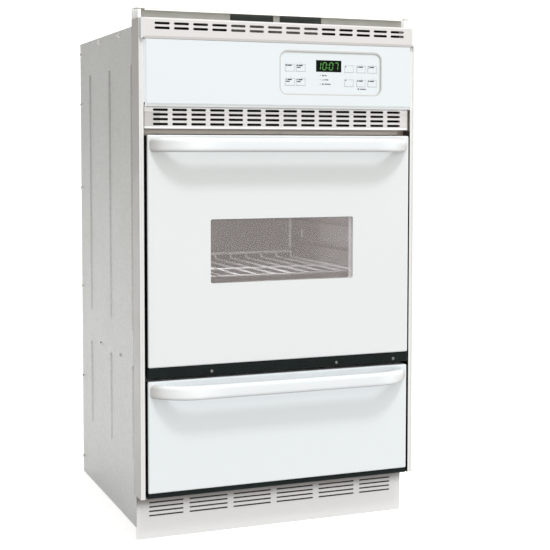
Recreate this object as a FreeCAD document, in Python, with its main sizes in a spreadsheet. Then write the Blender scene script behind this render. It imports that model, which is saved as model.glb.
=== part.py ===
import FreeCAD, Part
import os
import Sketcher
from FreeCAD import Placement, Rotation, Vector

# Built-in gas wall oven, 24 inch class: a folded steel chassis with a front
# frame, a porcelain oven liner, a drop-down door, a lower drawer, a control
# panel with a keypad, vent grilles and a toe panel.
# Millimetres. X to the right, Y into the cabinet, Z up. Sizes are written in a
# frame whose Y = 0 is the front face of the side trims; every part is then
# moved back by originY, so that the document's origin lies on the floor under
# the middle of the oven.

doc = FreeCAD.newDocument("WallOven")
sheet = doc.addObject("Spreadsheet::Sheet", "Sizes")


class Q:
    """A size: the text of its expression on the sheet, and its value."""

    def __init__(self, text, value):
        self.text, self.value = text, float(value)

    @staticmethod
    def of(other):
        return other if isinstance(other, Q) else Q("(%.6f)" % float(other), other)

    def __add__(self, o):
        o = Q.of(o)
        return Q("(%s + %s)" % (self.text, o.text), self.value + o.value)

    def __radd__(self, o):
        return Q.of(o) + self

    def __sub__(self, o):
        o = Q.of(o)
        return Q("(%s - %s)" % (self.text, o.text), self.value - o.value)

    def __rsub__(self, o):
        return Q.of(o) - self

    def __mul__(self, o):
        o = Q.of(o)
        return Q("(%s * %s)" % (self.text, o.text), self.value * o.value)

    def __rmul__(self, o):
        return Q.of(o) * self

    def __truediv__(self, o):
        o = Q.of(o)
        return Q("(%s / %s)" % (self.text, o.text), self.value / o.value)

    def __neg__(self):
        return Q("(-%s)" % self.text, -self.value)


SIZES = [
    # front face
    ("outerX", 303), ("trimIn", 292.5), ("trimTop", 1050), ("trimLow", 95),
    ("sheetT", 1.2), ("wallY", 50), ("frameTop", 1046), ("earX", 290), ("earTop", 1073),
    # chassis behind the cabinet face
    ("chassisX", 278), ("chassisBack", 625), ("stileIn", 246), ("stileLip", 62),
    ("mountX", 285), ("mountLow", 400), ("mountHigh", 800), ("mountHole", 2.5),
    # oven liner
    ("linerX", 228), ("linerBack", 515), ("linerLow", 383.8), ("linerHigh", 769.2),
    ("ledgeLow", 467.6), ("ledgeStep", 55), ("ledgeIn", 217), ("bottomZ", 430),
    # door
    ("doorX", 287.8), ("doorFront", -6), ("doorLow", 338), ("doorSplit", 359.6),
    ("doorHigh", 821.7), ("doorRear", 20), ("plugX", 262), ("plugLow", 372),
    ("plugHigh", 786), ("plugRear", 44), ("pivotY", 6), ("pivotZ", 352), ("pinR", 4),
    ("pinFit", 0.05), ("windowX", 157), ("windowLow", 524), ("windowHigh", 653),
    ("glassT", 4), ("winRearX", 175), ("winRearLow", 508), ("winRearHigh", 669),
    # handles
    ("gripW", 17), ("gripTall", 28.5), ("gripFlat", 192), ("gripOut", 42), ("gripBend", 100),
    ("doorGripZ", 802), ("drawerGripZ", 312),
    # drawer
    ("drawerFront", -3), ("drawerLow", 106), ("drawerHigh", 331.8), ("drawerTrimLow", 95),
    ("drawerRear", 40), ("boxX", 228), ("boxLow", 112), ("boxHigh", 290), ("boxRear", 480),
    ("slideLow", 190), ("slideHigh", 206), ("slideW", 5.2), ("slideFit", 0.3),
    # grilles
    ("slotW", 31), ("slotTall", 5), ("slotR", 2.45), ("slotStep", 39.53), ("slotX", -256.95),
    ("grilleX", 300), ("grilleEnd", 292.5), ("grilleFront", -8.8), ("grilleLow", 1009.6), ("topRowA", 1039.5), ("topRowB", 1030.3),
    ("lowFront", 5.8), ("lowBottom", 834), ("lowTop", 877), ("lowX", 290), ("lowLip", 824), ("lowLipX", 272),
    ("lowRowA", 871.2), ("lowRowB", 862), ("lowRowC", 852.6), ("lowRowD", 843),
    # toe panel
    ("toeX", 298.5), ("toeFront", 46.6), ("toeTop", 104), ("toeCrease", 42.5),
    ("toeSlot", 3.2), ("toeRow", 47.4), ("toeStep", 9), ("toeHoleX", 289.5), ("toeHoleZ", 65.3),
    # control panel
    ("panelX", 290), ("panelFront", -6), ("panelT", 5), ("panelTop", 1009), ("panelLow", 877),
    ("padX0", -5.6), ("padX1", 219.4), ("padZ0", 907.4), ("padZ1", 992.1), ("padR", 14),
    ("padDeep", 3.5), ("padChamfer", 1.3), ("overlayT", 1),
    ("keyW", 20.4), ("keyTall", 14.6), ("keyFit", 0.25), ("keyRowHigh", 960), ("keyRowLow", 931),
    ("keyA", 14.7), ("keyB", 38.8), ("keyC", 148), ("keyD", 175.5), ("keyE", 201.1),
    ("dispX0", 73.2), ("dispX1", 130.2), ("dispZ0", 953), ("dispZ1", 976.8),
    ("ledX", 82.6), ("ledA", 945.5), ("ledB", 936.7), ("ledC", 927.9), ("ledR", 1.1),
    # vent at the top
    ("ventFront", 34), ("ventX", 288), ("ventTop", 1071), ("ventFlangeY", 20),
    ("ductX", 103), ("ductRear", 501), ("riserX", 51), ("riserY0", 439), ("riserY1", 481),
    # rack
    ("rackZ", 526), ("rackFront", 90), ("rackBack", 490), ("rackX", 220), ("rackStep", 40),
    ("rackBar", 2.5), ("rackRod", 3.2), ("rackMid", 255), ("rackRise", 539),
    # services
    ("gasX", -180), ("gasZ", 90), ("gasR", 9.13), ("gasLength", 14), ("knockX", 200),
    ("knockZ", 940), ("knockR", 11.1),
]
for row, (alias, value) in enumerate(SIZES, start=1):
    sheet.set("A%d" % row, alias)
    sheet.set("B%d" % row, "%g" % value)
    sheet.setAlias("B%d" % row, alias)
last = len(SIZES) + 1
sheet.set("A%d" % last, "originY")
sheet.set("B%d" % last, "=(chassisBack + doorFront - gripOut - gripW / 2) / 2")
sheet.setAlias("B%d" % last, "originY")
doc.recompute()


class Sizes:
    pass


P = Sizes()
for alias, value in SIZES:
    setattr(P, alias, Q("Sizes." + alias, value))
P.originY = Q("Sizes.originY", sheet.get("originY"))
NODES = []


def num(q):
    return q.value if isinstance(q, Q) else float(q)


def text(q):
    return q.text if isinstance(q, Q) else "%.6f" % float(q)


def bind(obj, prop, q):
    obj.setExpression(prop, text(q))


def put(obj, x, y, z, rotation=None):
    """Places an object in the shared frame, bound to the sheet."""
    obj.Placement = Placement(Vector(num(x), num(y) - P.originY.value, num(z)), rotation or Rotation())
    bind(obj, ".Placement.Base.x", x)
    bind(obj, ".Placement.Base.y", Q.of(y) - P.originY)
    bind(obj, ".Placement.Base.z", z)


def node(name, obj):
    """Marks an object as a finished sub-part."""
    obj.Label = name
    NODES.append((name, obj))
    return obj


COUNT = [0]


def fresh(kind):
    COUNT[0] += 1
    return "%s_%03d" % (kind, COUNT[0])


def box(x0, x1, y0, y1, z0, z1):
    o = doc.addObject("Part::Box", fresh("box"))
    bind(o, "Length", Q.of(x1) - x0)
    bind(o, "Width", Q.of(y1) - y0)
    bind(o, "Height", Q.of(z1) - z0)
    put(o, x0, y0, z0)
    return o


def cyl(axis, x, y, z, r, length):
    """A cylinder from a point along one axis."""
    o = doc.addObject("Part::Cylinder", fresh("cyl"))
    bind(o, "Radius", r)
    bind(o, "Height", length)
    turn = {"X": Rotation(Vector(0, 1, 0), 90), "Y": Rotation(Vector(1, 0, 0), -90), "Z": Rotation()}
    put(o, x, y, z, turn[axis])
    return o


def fuse(*shapes):
    o = doc.addObject("Part::MultiFuse", fresh("fuse"))
    o.Shapes = list(shapes)
    o.Refine = True
    return o


def group(*shapes):
    """Separate solids that share one sub-part."""
    o = doc.addObject("Part::Compound", fresh("group"))
    o.Links = list(shapes)
    return o


def cut(base, *tools):
    o = doc.addObject("Part::Cut", fresh("cut"))
    o.Base = base
    o.Tool = tools[0] if len(tools) == 1 else fuse(*tools)
    return o


def body(name):
    b = doc.addObject("PartDesign::Body", name)
    put(b, 0, 0, 0)
    return b


def sketch(b, role, offset):
    """A sketch on one of the body's own origin planes. offset is along its normal."""
    s = b.newObject("Sketcher::SketchObject", fresh("sketch"))
    for f in b.Origin.OriginFeatures:
        if f.Role == role + "_Plane":
            s.AttachmentSupport = [(f, "")]
    s.MapMode = "FlatFace"
    bind(s, ".AttachmentOffset.Base.z", offset)
    return s


def poly(s, points):
    """A closed outline with each corner's two distances bound to the sheet."""
    first = s.GeometryCount
    n = len(points)
    for i in range(n):
        a, c = points[i], points[(i + 1) % n]
        s.addGeometry(Part.LineSegment(Vector(num(a[0]), num(a[1]), 0), Vector(num(c[0]), num(c[1]), 0)))
    for i in range(n):
        s.addConstraint(Sketcher.Constraint("Coincident", first + i, 2, first + (i + 1) % n, 1))
    for i, (x, y) in enumerate(points):
        for kind, q in (("DistanceX", x), ("DistanceY", y)):
            c = s.addConstraint(Sketcher.Constraint(kind, -1, 1, first + i, 1, num(q)))
            if isinstance(q, Q):
                bind(s, "Constraints[%d]" % c, q)


def rrect(s, x0, x1, y0, y1, r):
    """A rectangle with round corners."""
    a, b, c, d, k = num(x0), num(x1), num(y0), num(y1), num(r)
    g = s.GeometryCount
    turn = 1.5707963267948966
    V = Vector
    s.addGeometry(Part.LineSegment(V(a + k, c, 0), V(b - k, c, 0)))
    s.addGeometry(Part.ArcOfCircle(Part.Circle(V(b - k, c + k, 0), V(0, 0, 1), k), 3 * turn, 4 * turn))
    s.addGeometry(Part.LineSegment(V(b, c + k, 0), V(b, d - k, 0)))
    s.addGeometry(Part.ArcOfCircle(Part.Circle(V(b - k, d - k, 0), V(0, 0, 1), k), 0, turn))
    s.addGeometry(Part.LineSegment(V(b - k, d, 0), V(a + k, d, 0)))
    s.addGeometry(Part.ArcOfCircle(Part.Circle(V(a + k, d - k, 0), V(0, 0, 1), k), turn, 2 * turn))
    s.addGeometry(Part.LineSegment(V(a, d - k, 0), V(a, c + k, 0)))
    s.addGeometry(Part.ArcOfCircle(Part.Circle(V(a + k, c + k, 0), V(0, 0, 1), k), 2 * turn, 3 * turn))
    for i in range(8):
        s.addConstraint(Sketcher.Constraint("Tangent", g + i, 2, g + (i + 1) % 8, 1))
    for i in (0, 4):
        s.addConstraint(Sketcher.Constraint("Horizontal", g + i))
    for i in (2, 6):
        s.addConstraint(Sketcher.Constraint("Vertical", g + i))
    for kind, i, q in (("DistanceY", 0, y0), ("DistanceX", 2, x1), ("DistanceY", 4, y1), ("DistanceX", 6, x0)):
        n = s.addConstraint(Sketcher.Constraint(kind, -1, 1, g + i, 1, num(q)))
        if isinstance(q, Q):
            bind(s, "Constraints[%d]" % n, q)
    n = s.addConstraint(Sketcher.Constraint("Radius", g + 1, k))
    if isinstance(r, Q):
        bind(s, "Constraints[%d]" % n, r)
    for i in (3, 5, 7):
        s.addConstraint(Sketcher.Constraint("Equal", g + 1, g + i))


def ring(s, x, y, r):
    """A circle."""
    g = s.addGeometry(Part.Circle(Vector(num(x), num(y), 0), Vector(0, 0, 1), num(r)))
    for kind, q in (("DistanceX", x), ("DistanceY", y)):
        n = s.addConstraint(Sketcher.Constraint(kind, -1, 1, g, 3, num(q)))
        if isinstance(q, Q):
            bind(s, "Constraints[%d]" % n, q)
    n = s.addConstraint(Sketcher.Constraint("Radius", g, num(r)))
    if isinstance(r, Q):
        bind(s, "Constraints[%d]" % n, r)


def pad(b, s, length, back=False):
    f = b.newObject("PartDesign::Pad", fresh("pad"))
    f.Profile = s
    f.Reversed = back
    bind(f, "Length", length)
    s.Visibility = False
    return f


def pocket(b, s, length, back=False):
    """A pocket. It must take material away, or the script stops."""
    doc.recompute()
    before = b.Shape.Volume
    f = b.newObject("PartDesign::Pocket", fresh("pocket"))
    f.Profile = s
    f.Reversed = back
    bind(f, "Length", length)
    doc.recompute()
    if not b.Shape.Volume < before - 0.01:
        raise SystemExit("pocket cut nothing in %s %s %s %s" % (b.Label, f.Label, f.State, f.BaseFeature.Label))
    return f


def repeat(b, feature, s, axis, length, count):
    """A row of copies of a pocket along an axis of its sketch."""
    f = b.newObject("PartDesign::LinearPattern", fresh("pattern"))
    f.Originals = [feature]
    f.Direction = (s, [axis])
    f.Occurrences = count
    bind(f, "Length", length)
    b.Tip = f
    doc.recompute()
    return f


def round_edges(b, test, r):
    """Fillets the edges of the body whose middle point and direction pass a test."""
    doc.recompute()
    tip = b.Tip
    names = []
    for i, e in enumerate(tip.Shape.Edges, start=1):
        if e.Length < 2:
            continue
        m = e.valueAt((e.FirstParameter + e.LastParameter) / 2)
        t = e.tangentAt((e.FirstParameter + e.LastParameter) / 2)
        if test(m, t, e):
            names.append("Edge%d" % i)
    f = b.newObject("PartDesign::Fillet", fresh("fillet"))
    f.Base = (tip, names)
    bind(f, "Radius", r)
    doc.recompute()
    if "Invalid" in f.State or not f.Shape.isValid():
        raise SystemExit("fillet failed in " + b.Label)
    return f


def prism(name, role, points, a0, a1):
    """A folded-sheet profile run along the axis normal to it, from a0 to a1."""
    b = body(name)
    s = sketch(b, role, -Q.of(a1) if role == "XZ" else a0)
    poly(s, points)
    pad(b, s, Q.of(a1) - a0)
    return b


def slab(name, x0, x1, z0, z1, r, y0, y1):
    """A flat piece facing the front, with round corners, from y0 back to y1."""
    b = body(name)
    s = sketch(b, "XZ", -Q.of(y1))
    rrect(s, x0, x1, z0, z1, r)
    pad(b, s, Q.of(y1) - y0)
    return b


def mirrored(points):
    return [(-Q.of(x), y) for x, y in reversed(points)]


def hoop(name, role, x, start, far, bend, level, draw):
    """A bar that leaves a surface at -x and x, bends, and runs across at far."""
    b = body(name)
    s = sketch(b, "XZ", -Q.of(start))
    draw(s, -Q.of(x), level)
    path = sketch(b, "XY", level)
    V = Vector
    a, st, fr, k = num(x), num(start), num(far), num(bend)
    turn = 1.5707963267948966
    path.addGeometry(Part.LineSegment(V(-a, st, 0), V(-a, fr + k, 0)))
    path.addGeometry(Part.ArcOfCircle(Part.Circle(V(-a + k, fr + k, 0), V(0, 0, 1), k), 2 * turn, 3 * turn))
    path.addGeometry(Part.LineSegment(V(-a + k, fr, 0), V(a - k, fr, 0)))
    path.addGeometry(Part.ArcOfCircle(Part.Circle(V(a - k, fr + k, 0), V(0, 0, 1), k), 3 * turn, 4 * turn))
    path.addGeometry(Part.LineSegment(V(a, fr + k, 0), V(a, st, 0)))
    for i, p, q in ((0, 2, 1), (1, 2, 1), (2, 2, 1), (3, 2, 1)):
        path.addConstraint(Sketcher.Constraint("Tangent", i, p, i + 1, q))
    for i, kind in ((0, "Vertical"), (2, "Horizontal"), (4, "Vertical")):
        path.addConstraint(Sketcher.Constraint(kind, i))
    rows = [("DistanceX", 0, 1, -Q.of(x)), ("DistanceY", 0, 1, Q.of(start)), ("DistanceY", 2, 1, Q.of(far)),
            ("DistanceX", 4, 2, Q.of(x)), ("DistanceY", 4, 2, Q.of(start))]
    for kind, g, p, q in rows:
        n = path.addConstraint(Sketcher.Constraint(kind, -1, 1, g, p, num(q)))
        bind(path, "Constraints[%d]" % n, q)
    n = path.addConstraint(Sketcher.Constraint("Radius", 1, k))
    bind(path, "Constraints[%d]" % n, Q.of(bend))
    path.addConstraint(Sketcher.Constraint("Equal", 1, 3))
    f = b.newObject("PartDesign::AdditivePipe", fresh("pipe"))
    f.Profile = s
    f.Spine = (path, ["Edge%d" % (i + 1) for i in range(5)])
    return b


def bow(name, flat, start, far, bend, level, tall):
    """A bar that runs straight across at far and sweeps back at both ends to a
    surface at start, where it is cut off flat."""
    halves = []
    for side in (-1, 1):
        b = body(name + ("_left" if side < 0 else "_right"))
        s = sketch(b, "YZ", 0)
        rrect(s, Q.of(far) - P.gripW / 2, Q.of(far) + P.gripW / 2, level - tall / 2, level + tall / 2, 8.3)
        pad(b, s, flat, back=side < 0)
        # The end turns about an upright axis that stands behind the straight run.
        s = sketch(b, "YZ", Q.of(flat) * side)
        bind(s, ".AttachmentOffset.Base.x", Q.of(far) + bend)
        rrect(s, -Q.of(bend) - P.gripW / 2, -Q.of(bend) + P.gripW / 2, level - tall / 2, level + tall / 2, 8.3)
        f = b.newObject("PartDesign::Revolution", fresh("turn"))
        f.Profile = s
        f.ReferenceAxis = (s, ["V_Axis"])
        f.Angle = 60
        f.Reversed = side < 0
        halves.append(b)
    reach = Q.of(flat) + bend
    return cut(fuse(*halves), box(-reach, reach, start, Q.of(start) + bend, level - tall, level + tall))


T = P.sheetT

# ---------------------------------------------------------------- chassis
node("chassis_side_left", box(-P.chassisX, -P.chassisX + T, P.wallY, P.chassisBack, 0, P.frameTop))
node("chassis_side_right", box(P.chassisX - T, P.chassisX, P.wallY, P.chassisBack, 0, P.frameTop))

b = body("chassis_back")
s = sketch(b, "XZ", -P.chassisBack)
poly(s, [(-P.chassisX + T, 0), (P.chassisX - T, 0), (P.chassisX - T, P.frameTop), (-P.chassisX + T, P.frameTop)])
pad(b, s, T)
s = sketch(b, "XZ", -(P.chassisBack - T))
ring(s, P.gasX, P.gasZ, 13.3)
ring(s, P.knockX, P.knockZ, P.knockR)
pocket(b, s, T + 1)
s = sketch(b, "XZ", -(P.chassisBack - T))
rrect(s, -220, -140, 900, 905, 2.4)
rrect(s, -120, -40, 900, 905, 2.4)
rrect(s, -20, 60, 900, 905, 2.4)
f = pocket(b, s, T + 1)
repeat(b, f, s, "V_Axis", 84, 7)
node("chassis_back", b)

node("chassis_top", cut(
    box(-P.chassisX + T, P.chassisX - T, P.wallY, P.chassisBack - T, P.frameTop - T, P.frameTop),
    box(-P.riserX, P.riserX, P.riserY0, P.riserY1, P.frameTop - 5, P.frameTop + 5),
    box(-P.stileIn - T - 0.1, -P.stileIn + 0.1, P.wallY - 1, P.stileLip + 0.1, P.frameTop - 5, P.frameTop + 5),
    box(P.stileIn - 0.1, P.stileIn + T + 0.1, P.wallY - 1, P.stileLip + 0.1, P.frameTop - 5, P.frameTop + 5)))

node("chassis_base", prism("chassis_base", "YZ", [
    (P.wallY, 0), (P.chassisBack - T, 0), (P.chassisBack - T, T), (P.wallY + T, T), (P.wallY + T, P.trimLow - 0.2),
    (P.wallY, P.trimLow - 0.2)], -P.chassisX + T, P.chassisX - T))

node("burner_shelf", cut(
    box(-P.chassisX + T, P.chassisX - T, P.stileLip + 1, P.chassisBack - T, 345, 345 + T),
    cyl("Z", -160, 590, 340, 8, 12)))

# Front frame: two stiles, their outer mounting flanges and four rails,
# spot-welded edge to edge. The flanges' rear face at wallY bears on the cabinet.
stile = [(-P.chassisX, P.wallY - T), (-P.stileIn, P.wallY - T), (-P.stileIn, P.stileLip),
         (-P.stileIn - T, P.stileLip), (-P.stileIn - T, P.wallY), (-P.chassisX, P.wallY)]
stiles = []
for side, pts in ((-1, stile), (1, mirrored(stile))):
    stiles.append(prism("stile", "XY", pts, P.trimLow, P.frameTop))
    if side < 0:
        flange = box(-P.outerX, -P.chassisX, P.wallY - T, P.wallY, P.trimLow, P.frameTop)
        ear = box(-P.outerX, -P.earX, P.wallY - T, P.wallY, P.frameTop - 4, P.earTop)
    else:
        flange = box(P.chassisX, P.outerX, P.wallY - T, P.wallY, P.trimLow, P.frameTop)
        ear = box(P.earX, P.outerX, P.wallY - T, P.wallY, P.frameTop - 4, P.earTop)
    stiles.append(cut(fuse(flange, ear),
                      cyl("Y", side * P.mountX, P.wallY - 5, P.mountLow, P.mountHole, 10),
                      cyl("Y", side * P.mountX, P.wallY - 5, P.mountHigh, P.mountHole, 10)))
rails = [box(-P.stileIn, P.stileIn, P.wallY - T, P.wallY, z0, z1) for z0, z1 in
         ((1014, P.frameTop), (790, 880), (336, 363), (P.trimLow, 108))]
node("front_frame", group(*stiles, *rails))

# ---------------------------------------------------------------- side trims
trim = [(-P.outerX, P.wallY - T), (-P.outerX, 0), (-299.6, 0), (-299.6, 0.9), (-297.8, 0.9), (-297.8, 0),
        (-P.trimIn, 0), (-P.trimIn, 30), (-P.trimIn - T, 30), (-P.trimIn - T, 2), (-P.outerX + T, 2),
        (-P.outerX + T, P.wallY - T)]
for name, pts in (("side_trim_left", trim), ("side_trim_right", mirrored(trim))):
    b = prism(name, "XY", pts, P.trimLow, P.trimTop)
    round_edges(b, lambda m, t, e: abs(t.z) > 0.9 and abs(m.y) < 0.01 and
                (abs(abs(m.x) - P.outerX.value) < 0.01 or abs(abs(m.x) - P.trimIn.value) < 0.01), 0.9)
    node(name, b)

# ---------------------------------------------------------------- grilles
F = P.grilleFront
G = P.grilleX
b = body("top_grille")
s = sketch(b, "XY", P.grilleLow)
poly(s, [(-G, 0), (-G, -6.4), (-P.grilleEnd, F), (P.grilleEnd, F), (G, -6.4), (G, 0),
         (G - T, 0), (G - T, -5.4), (P.grilleEnd - 0.4, F + T), (-P.grilleEnd + 0.4, F + T),
         (-G + T, -5.4), (-G + T, 0)])
pad(b, s, P.trimTop - P.grilleLow)
s = sketch(b, "XY", P.trimTop - 1)
poly(s, [(-291, F + 0.5), (291, F + 0.5), (291, P.ventFront), (-291, P.ventFront)])
pad(b, s, 1)
s = sketch(b, "XY", P.grilleLow)
poly(s, [(-291, -5.9), (291, -5.9), (291, 10), (-291, 10)])
pad(b, s, 1)
round_edges(b, lambda m, t, e: abs(t.z) > 0.9 and abs(m.y + 6.4) < 0.01, 1.1)
s = sketch(b, "XZ", -(F - 1))
for z in (P.topRowA, P.topRowB):
    rrect(s, P.slotX - P.slotW / 2, P.slotX + P.slotW / 2, z - P.slotTall / 2, z + P.slotTall / 2, P.slotR)
f = pocket(b, s, 3)
repeat(b, f, s, "H_Axis", P.slotStep * 13, 14)
# The lower edge leans back to meet the control panel's face.
lean = prism("lean", "YZ", [(F, 1014.4), (-6.2, P.grilleLow), (-4.9, P.grilleLow), (F + T, 1014.9), (F + T, 1016), (F, 1016)],
             -P.grilleEnd, P.grilleEnd)
front_off = prism("front_off", "YZ", [(F - 2, 1006), (-4.25, 1006), (F - 2, 1018.09)], -310, 310)
node("top_grille", fuse(cut(b, front_off), lean))

F = P.lowFront
b = body("lower_grille")
s = sketch(b, "YZ", -P.lowX)
poly(s, [(F, P.lowBottom), (20, P.lowBottom), (20, P.lowBottom + T), (F + T, P.lowBottom + T),
         (F + T, P.lowTop - T), (P.wallY - T, P.lowTop - T), (P.wallY - T, P.lowTop), (F, P.lowTop)])
pad(b, s, P.lowX * 2)
s = sketch(b, "XY", P.lowBottom + T)
poly(s, [(-P.lowX, F + T), (-P.lowX + T, F + T), (-P.lowX + T, 40), (-P.lowX, 40)])
poly(s, [(P.lowX - T, F + T), (P.lowX, F + T), (P.lowX, 40), (P.lowX - T, 40)])
pad(b, s, P.lowTop - P.lowBottom - 2 * T)
round_edges(b, lambda m, t, e: abs(t.x) > 0.9 and abs(m.y - P.lowFront.value) < 0.01 and e.Length > 100, 1.0)
s = sketch(b, "XZ", -(F - 1))
for z in (P.lowRowA, P.lowRowB, P.lowRowC, P.lowRowD):
    rrect(s, P.slotX - P.slotW / 2, P.slotX + P.slotW / 2, z - P.slotTall / 2, z + P.slotTall / 2, P.slotR)
f = pocket(b, s, 3)
repeat(b, f, s, "H_Axis", P.slotStep * 13, 14)
node("lower_grille", fuse(b, box(-P.lowX, P.lowLipX, 20 - T, 20, P.lowLip, P.lowBottom + T)))

# ---------------------------------------------------------------- toe panel
F = P.toeFront
b = body("toe_panel")
s = sketch(b, "YZ", -P.toeX)
poly(s, [(F, P.toeTop), (F, P.toeCrease), (F + 1.4, 0), (F + 2.6, 0), (F + T, P.toeCrease), (F + T, 95),
         (P.wallY - T, 95), (P.wallY - T, P.toeTop)])
pad(b, s, P.toeX * 2)
s = sketch(b, "XY", 0)
poly(s, [(-P.toeX, F + T), (-P.toeX + T, F + T), (-P.toeX + T, P.wallY), (-P.toeX, P.wallY)])
poly(s, [(P.toeX - T, F + T), (P.toeX, F + T), (P.toeX, P.wallY), (P.toeX - T, P.wallY)])
pad(b, s, 94.5)
s = sketch(b, "XZ", -(F - 1))
for x0, x1 in ((-273, -199.7), (-186.7, -103.3), (-90.4, -6.4), (6.4, 90.4), (103.3, 186.7), (199.7, 273)):
    rrect(s, x0, x1, P.toeRow - P.toeSlot / 2, P.toeRow + P.toeSlot / 2, 1.5)
f = pocket(b, s, 4)
repeat(b, f, s, "V_Axis", P.toeStep * 3, 4)
s = sketch(b, "XZ", -(F - 1))
ring(s, -P.toeHoleX, P.toeHoleZ, 2.2)
ring(s, P.toeHoleX, P.toeHoleZ, 2.2)
pocket(b, s, 3)
node("toe_panel", b)

# ---------------------------------------------------------------- vent
V0 = P.ventFront
b = prism("vent_front_baffle", "YZ", [
    (V0, P.frameTop), (P.stileLip, P.frameTop), (P.stileLip, P.frameTop + 1), (V0 + 1, P.frameTop + 1),
    (V0 + 1, P.ventTop), (P.ventFlangeY, P.ventTop), (P.ventFlangeY, P.ventTop - 1), (V0, P.ventTop - 1)],
    -P.ventX, P.ventX)
node("vent_front_baffle", cut(
    fuse(b, box(-P.outerX, P.outerX, P.ventFlangeY, V0 + 1, P.ventTop - 1, P.ventTop),
         box(-P.ventX + 4, P.ventX - 4, P.ventFlangeY, P.ventFlangeY + 1, P.ventTop - 4, P.ventTop),
         box(-P.ductX, P.ductX, V0, V0 + 1, 1014, P.frameTop + 2)),
    box(-101, -7, V0 - 5, V0 + 10, P.frameTop + 2.5, P.ventTop - 2),
    box(7, 101, V0 - 5, V0 + 10, P.frameTop + 2.5, P.ventTop - 2)))

# The flue: a flat duct on top of the chassis, and the riser that feeds it, both
# of folded sheet welded edge to edge.
D0, D1, DX, RX = P.frameTop + 1, P.ventTop - 1, P.ductX, P.riserX
node("vent_duct", group(
    box(-DX, DX, V0 + 1, P.ductRear, D1 - 1, D1),
    box(-DX, -DX + 1, V0 + 1, P.ductRear, D0, D1 - 1),
    box(DX - 1, DX, V0 + 1, P.ductRear, D0, D1 - 1),
    box(-DX + 1, DX - 1, P.ductRear - 1, P.ductRear, D0, D1 - 1),
    box(-DX + 1, DX - 1, V0 + 1, P.riserY0, D0, D0 + 1),
    box(-DX + 1, DX - 1, P.riserY1, P.ductRear - 1, D0, D0 + 1),
    box(-DX + 1, -RX, P.riserY0, P.riserY1, D0, D0 + 1),
    box(RX, DX - 1, P.riserY0, P.riserY1, D0, D0 + 1),
    box(-RX, -RX + 1, P.riserY0, P.riserY1, P.linerHigh + T, D0 + 1),
    box(RX - 1, RX, P.riserY0, P.riserY1, P.linerHigh + T, D0 + 1),
    box(-RX + 1, RX - 1, P.riserY0, P.riserY0 + 1, P.linerHigh + T, D0 + 1),
    box(-RX + 1, RX - 1, P.riserY1 - 1, P.riserY1, P.linerHigh + T, D0 + 1)))

# ---------------------------------------------------------------- oven liner
side = [(-P.stileIn, P.wallY - T), (-P.linerX, P.wallY - T), (-P.linerX, P.linerBack),
        (-P.linerX - T, P.linerBack), (-P.linerX - T, P.wallY), (-P.stileIn, P.wallY)]
liner = [prism("liner_left", "XY", side, P.linerLow, P.linerHigh),
         prism("liner_right", "XY", mirrored(side), P.linerLow, P.linerHigh)]
liner.append(cut(
    fuse(box(-P.linerX - T, P.linerX + T, P.wallY, P.linerBack, P.linerHigh, P.linerHigh + T),
         box(-P.stileIn, P.stileIn, P.wallY - T, P.wallY, P.linerHigh, 790)),
    box(-P.riserX + 1, P.riserX - 1, P.riserY0 + 1, P.riserY1 - 1, P.linerHigh - 5, P.linerHigh + 5)))
liner.append(fuse(
    box(-P.linerX - T, P.linerX + T, P.wallY, P.linerBack, P.linerLow - T, P.linerLow),
    box(-P.stileIn, P.stileIn, P.wallY - T, P.wallY, 363, P.linerLow)))
b = body("liner_rear")
s = sketch(b, "XZ", -(P.linerBack + T))
poly(s, [(-P.linerX - T, P.linerLow - T), (P.linerX + T, P.linerLow - T), (P.linerX + T, P.linerHigh + T),
         (-P.linerX - T, P.linerHigh + T)])
pad(b, s, T)
s = sketch(b, "XZ", -(P.linerBack - 1))
ring(s, -170, 715, 3.2)
ring(s, 165, 700, 24)
for x in (-90, 90):
    ring(s, x, 404, 11.5)
    ring(s, x, 755, 9.5)
pocket(b, s, 4)
liner.append(b)
ledge = [(-P.linerX, P.ledgeLow - 10), (-P.ledgeIn - 1, P.ledgeLow - 6), (-P.ledgeIn, P.ledgeLow - 5),
         (-P.ledgeIn, P.ledgeLow), (-P.linerX, P.ledgeLow)]
for pts in ([p for p in reversed(ledge)], mirrored(ledge)):
    first = prism("ledge", "XZ", pts, 70, 505)
    liner.append(first)
    for k in range(1, 5):
        copy = doc.addObject("App::Link", fresh("ledge"))
        copy.LinkedObject = first
        copy.LinkTransform = True
        bind(copy, ".LinkPlacement.Base.z", P.ledgeStep * k)
        liner.append(copy)
node("oven_liner", group(*liner))

b = prism("oven_bottom", "XZ", [
    (-226, P.linerLow), (-224.8, P.linerLow), (-224.8, P.bottomZ - T), (224.8, P.bottomZ - T),
    (224.8, P.linerLow), (226, P.linerLow), (226, P.bottomZ), (-226, P.bottomZ)], 56, 510)
s = sketch(b, "XY", P.bottomZ + 1)
rrect(s, -215, -207, 80, 110, 3.5)
rrect(s, 207, 215, 80, 110, 3.5)
f = pocket(b, s, 4)
repeat(b, f, s, "V_Axis", 378, 8)
node("oven_bottom", b)

node("oven_insulation", cut(
    box(-272, 272, P.stileLip + 2, 560, 345 + T, 788),
    box(-P.linerX - T, P.linerX + T, P.wallY, P.linerBack + T, P.linerLow - T, P.linerHigh + T),
    box(-P.riserX, P.riserX, P.riserY0, P.riserY1, 765, 795),
    box(-190, -150, 510, 570, 703, 727), cyl("Y", 165, 510, 700, 26, 60),
    cyl("Y", -90, 510, 404, 14, 60), cyl("Y", 90, 510, 404, 14, 60),
    cyl("Y", -90, 510, 755, 12, 60), cyl("Y", 90, 510, 755, 12, 60)))

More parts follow.
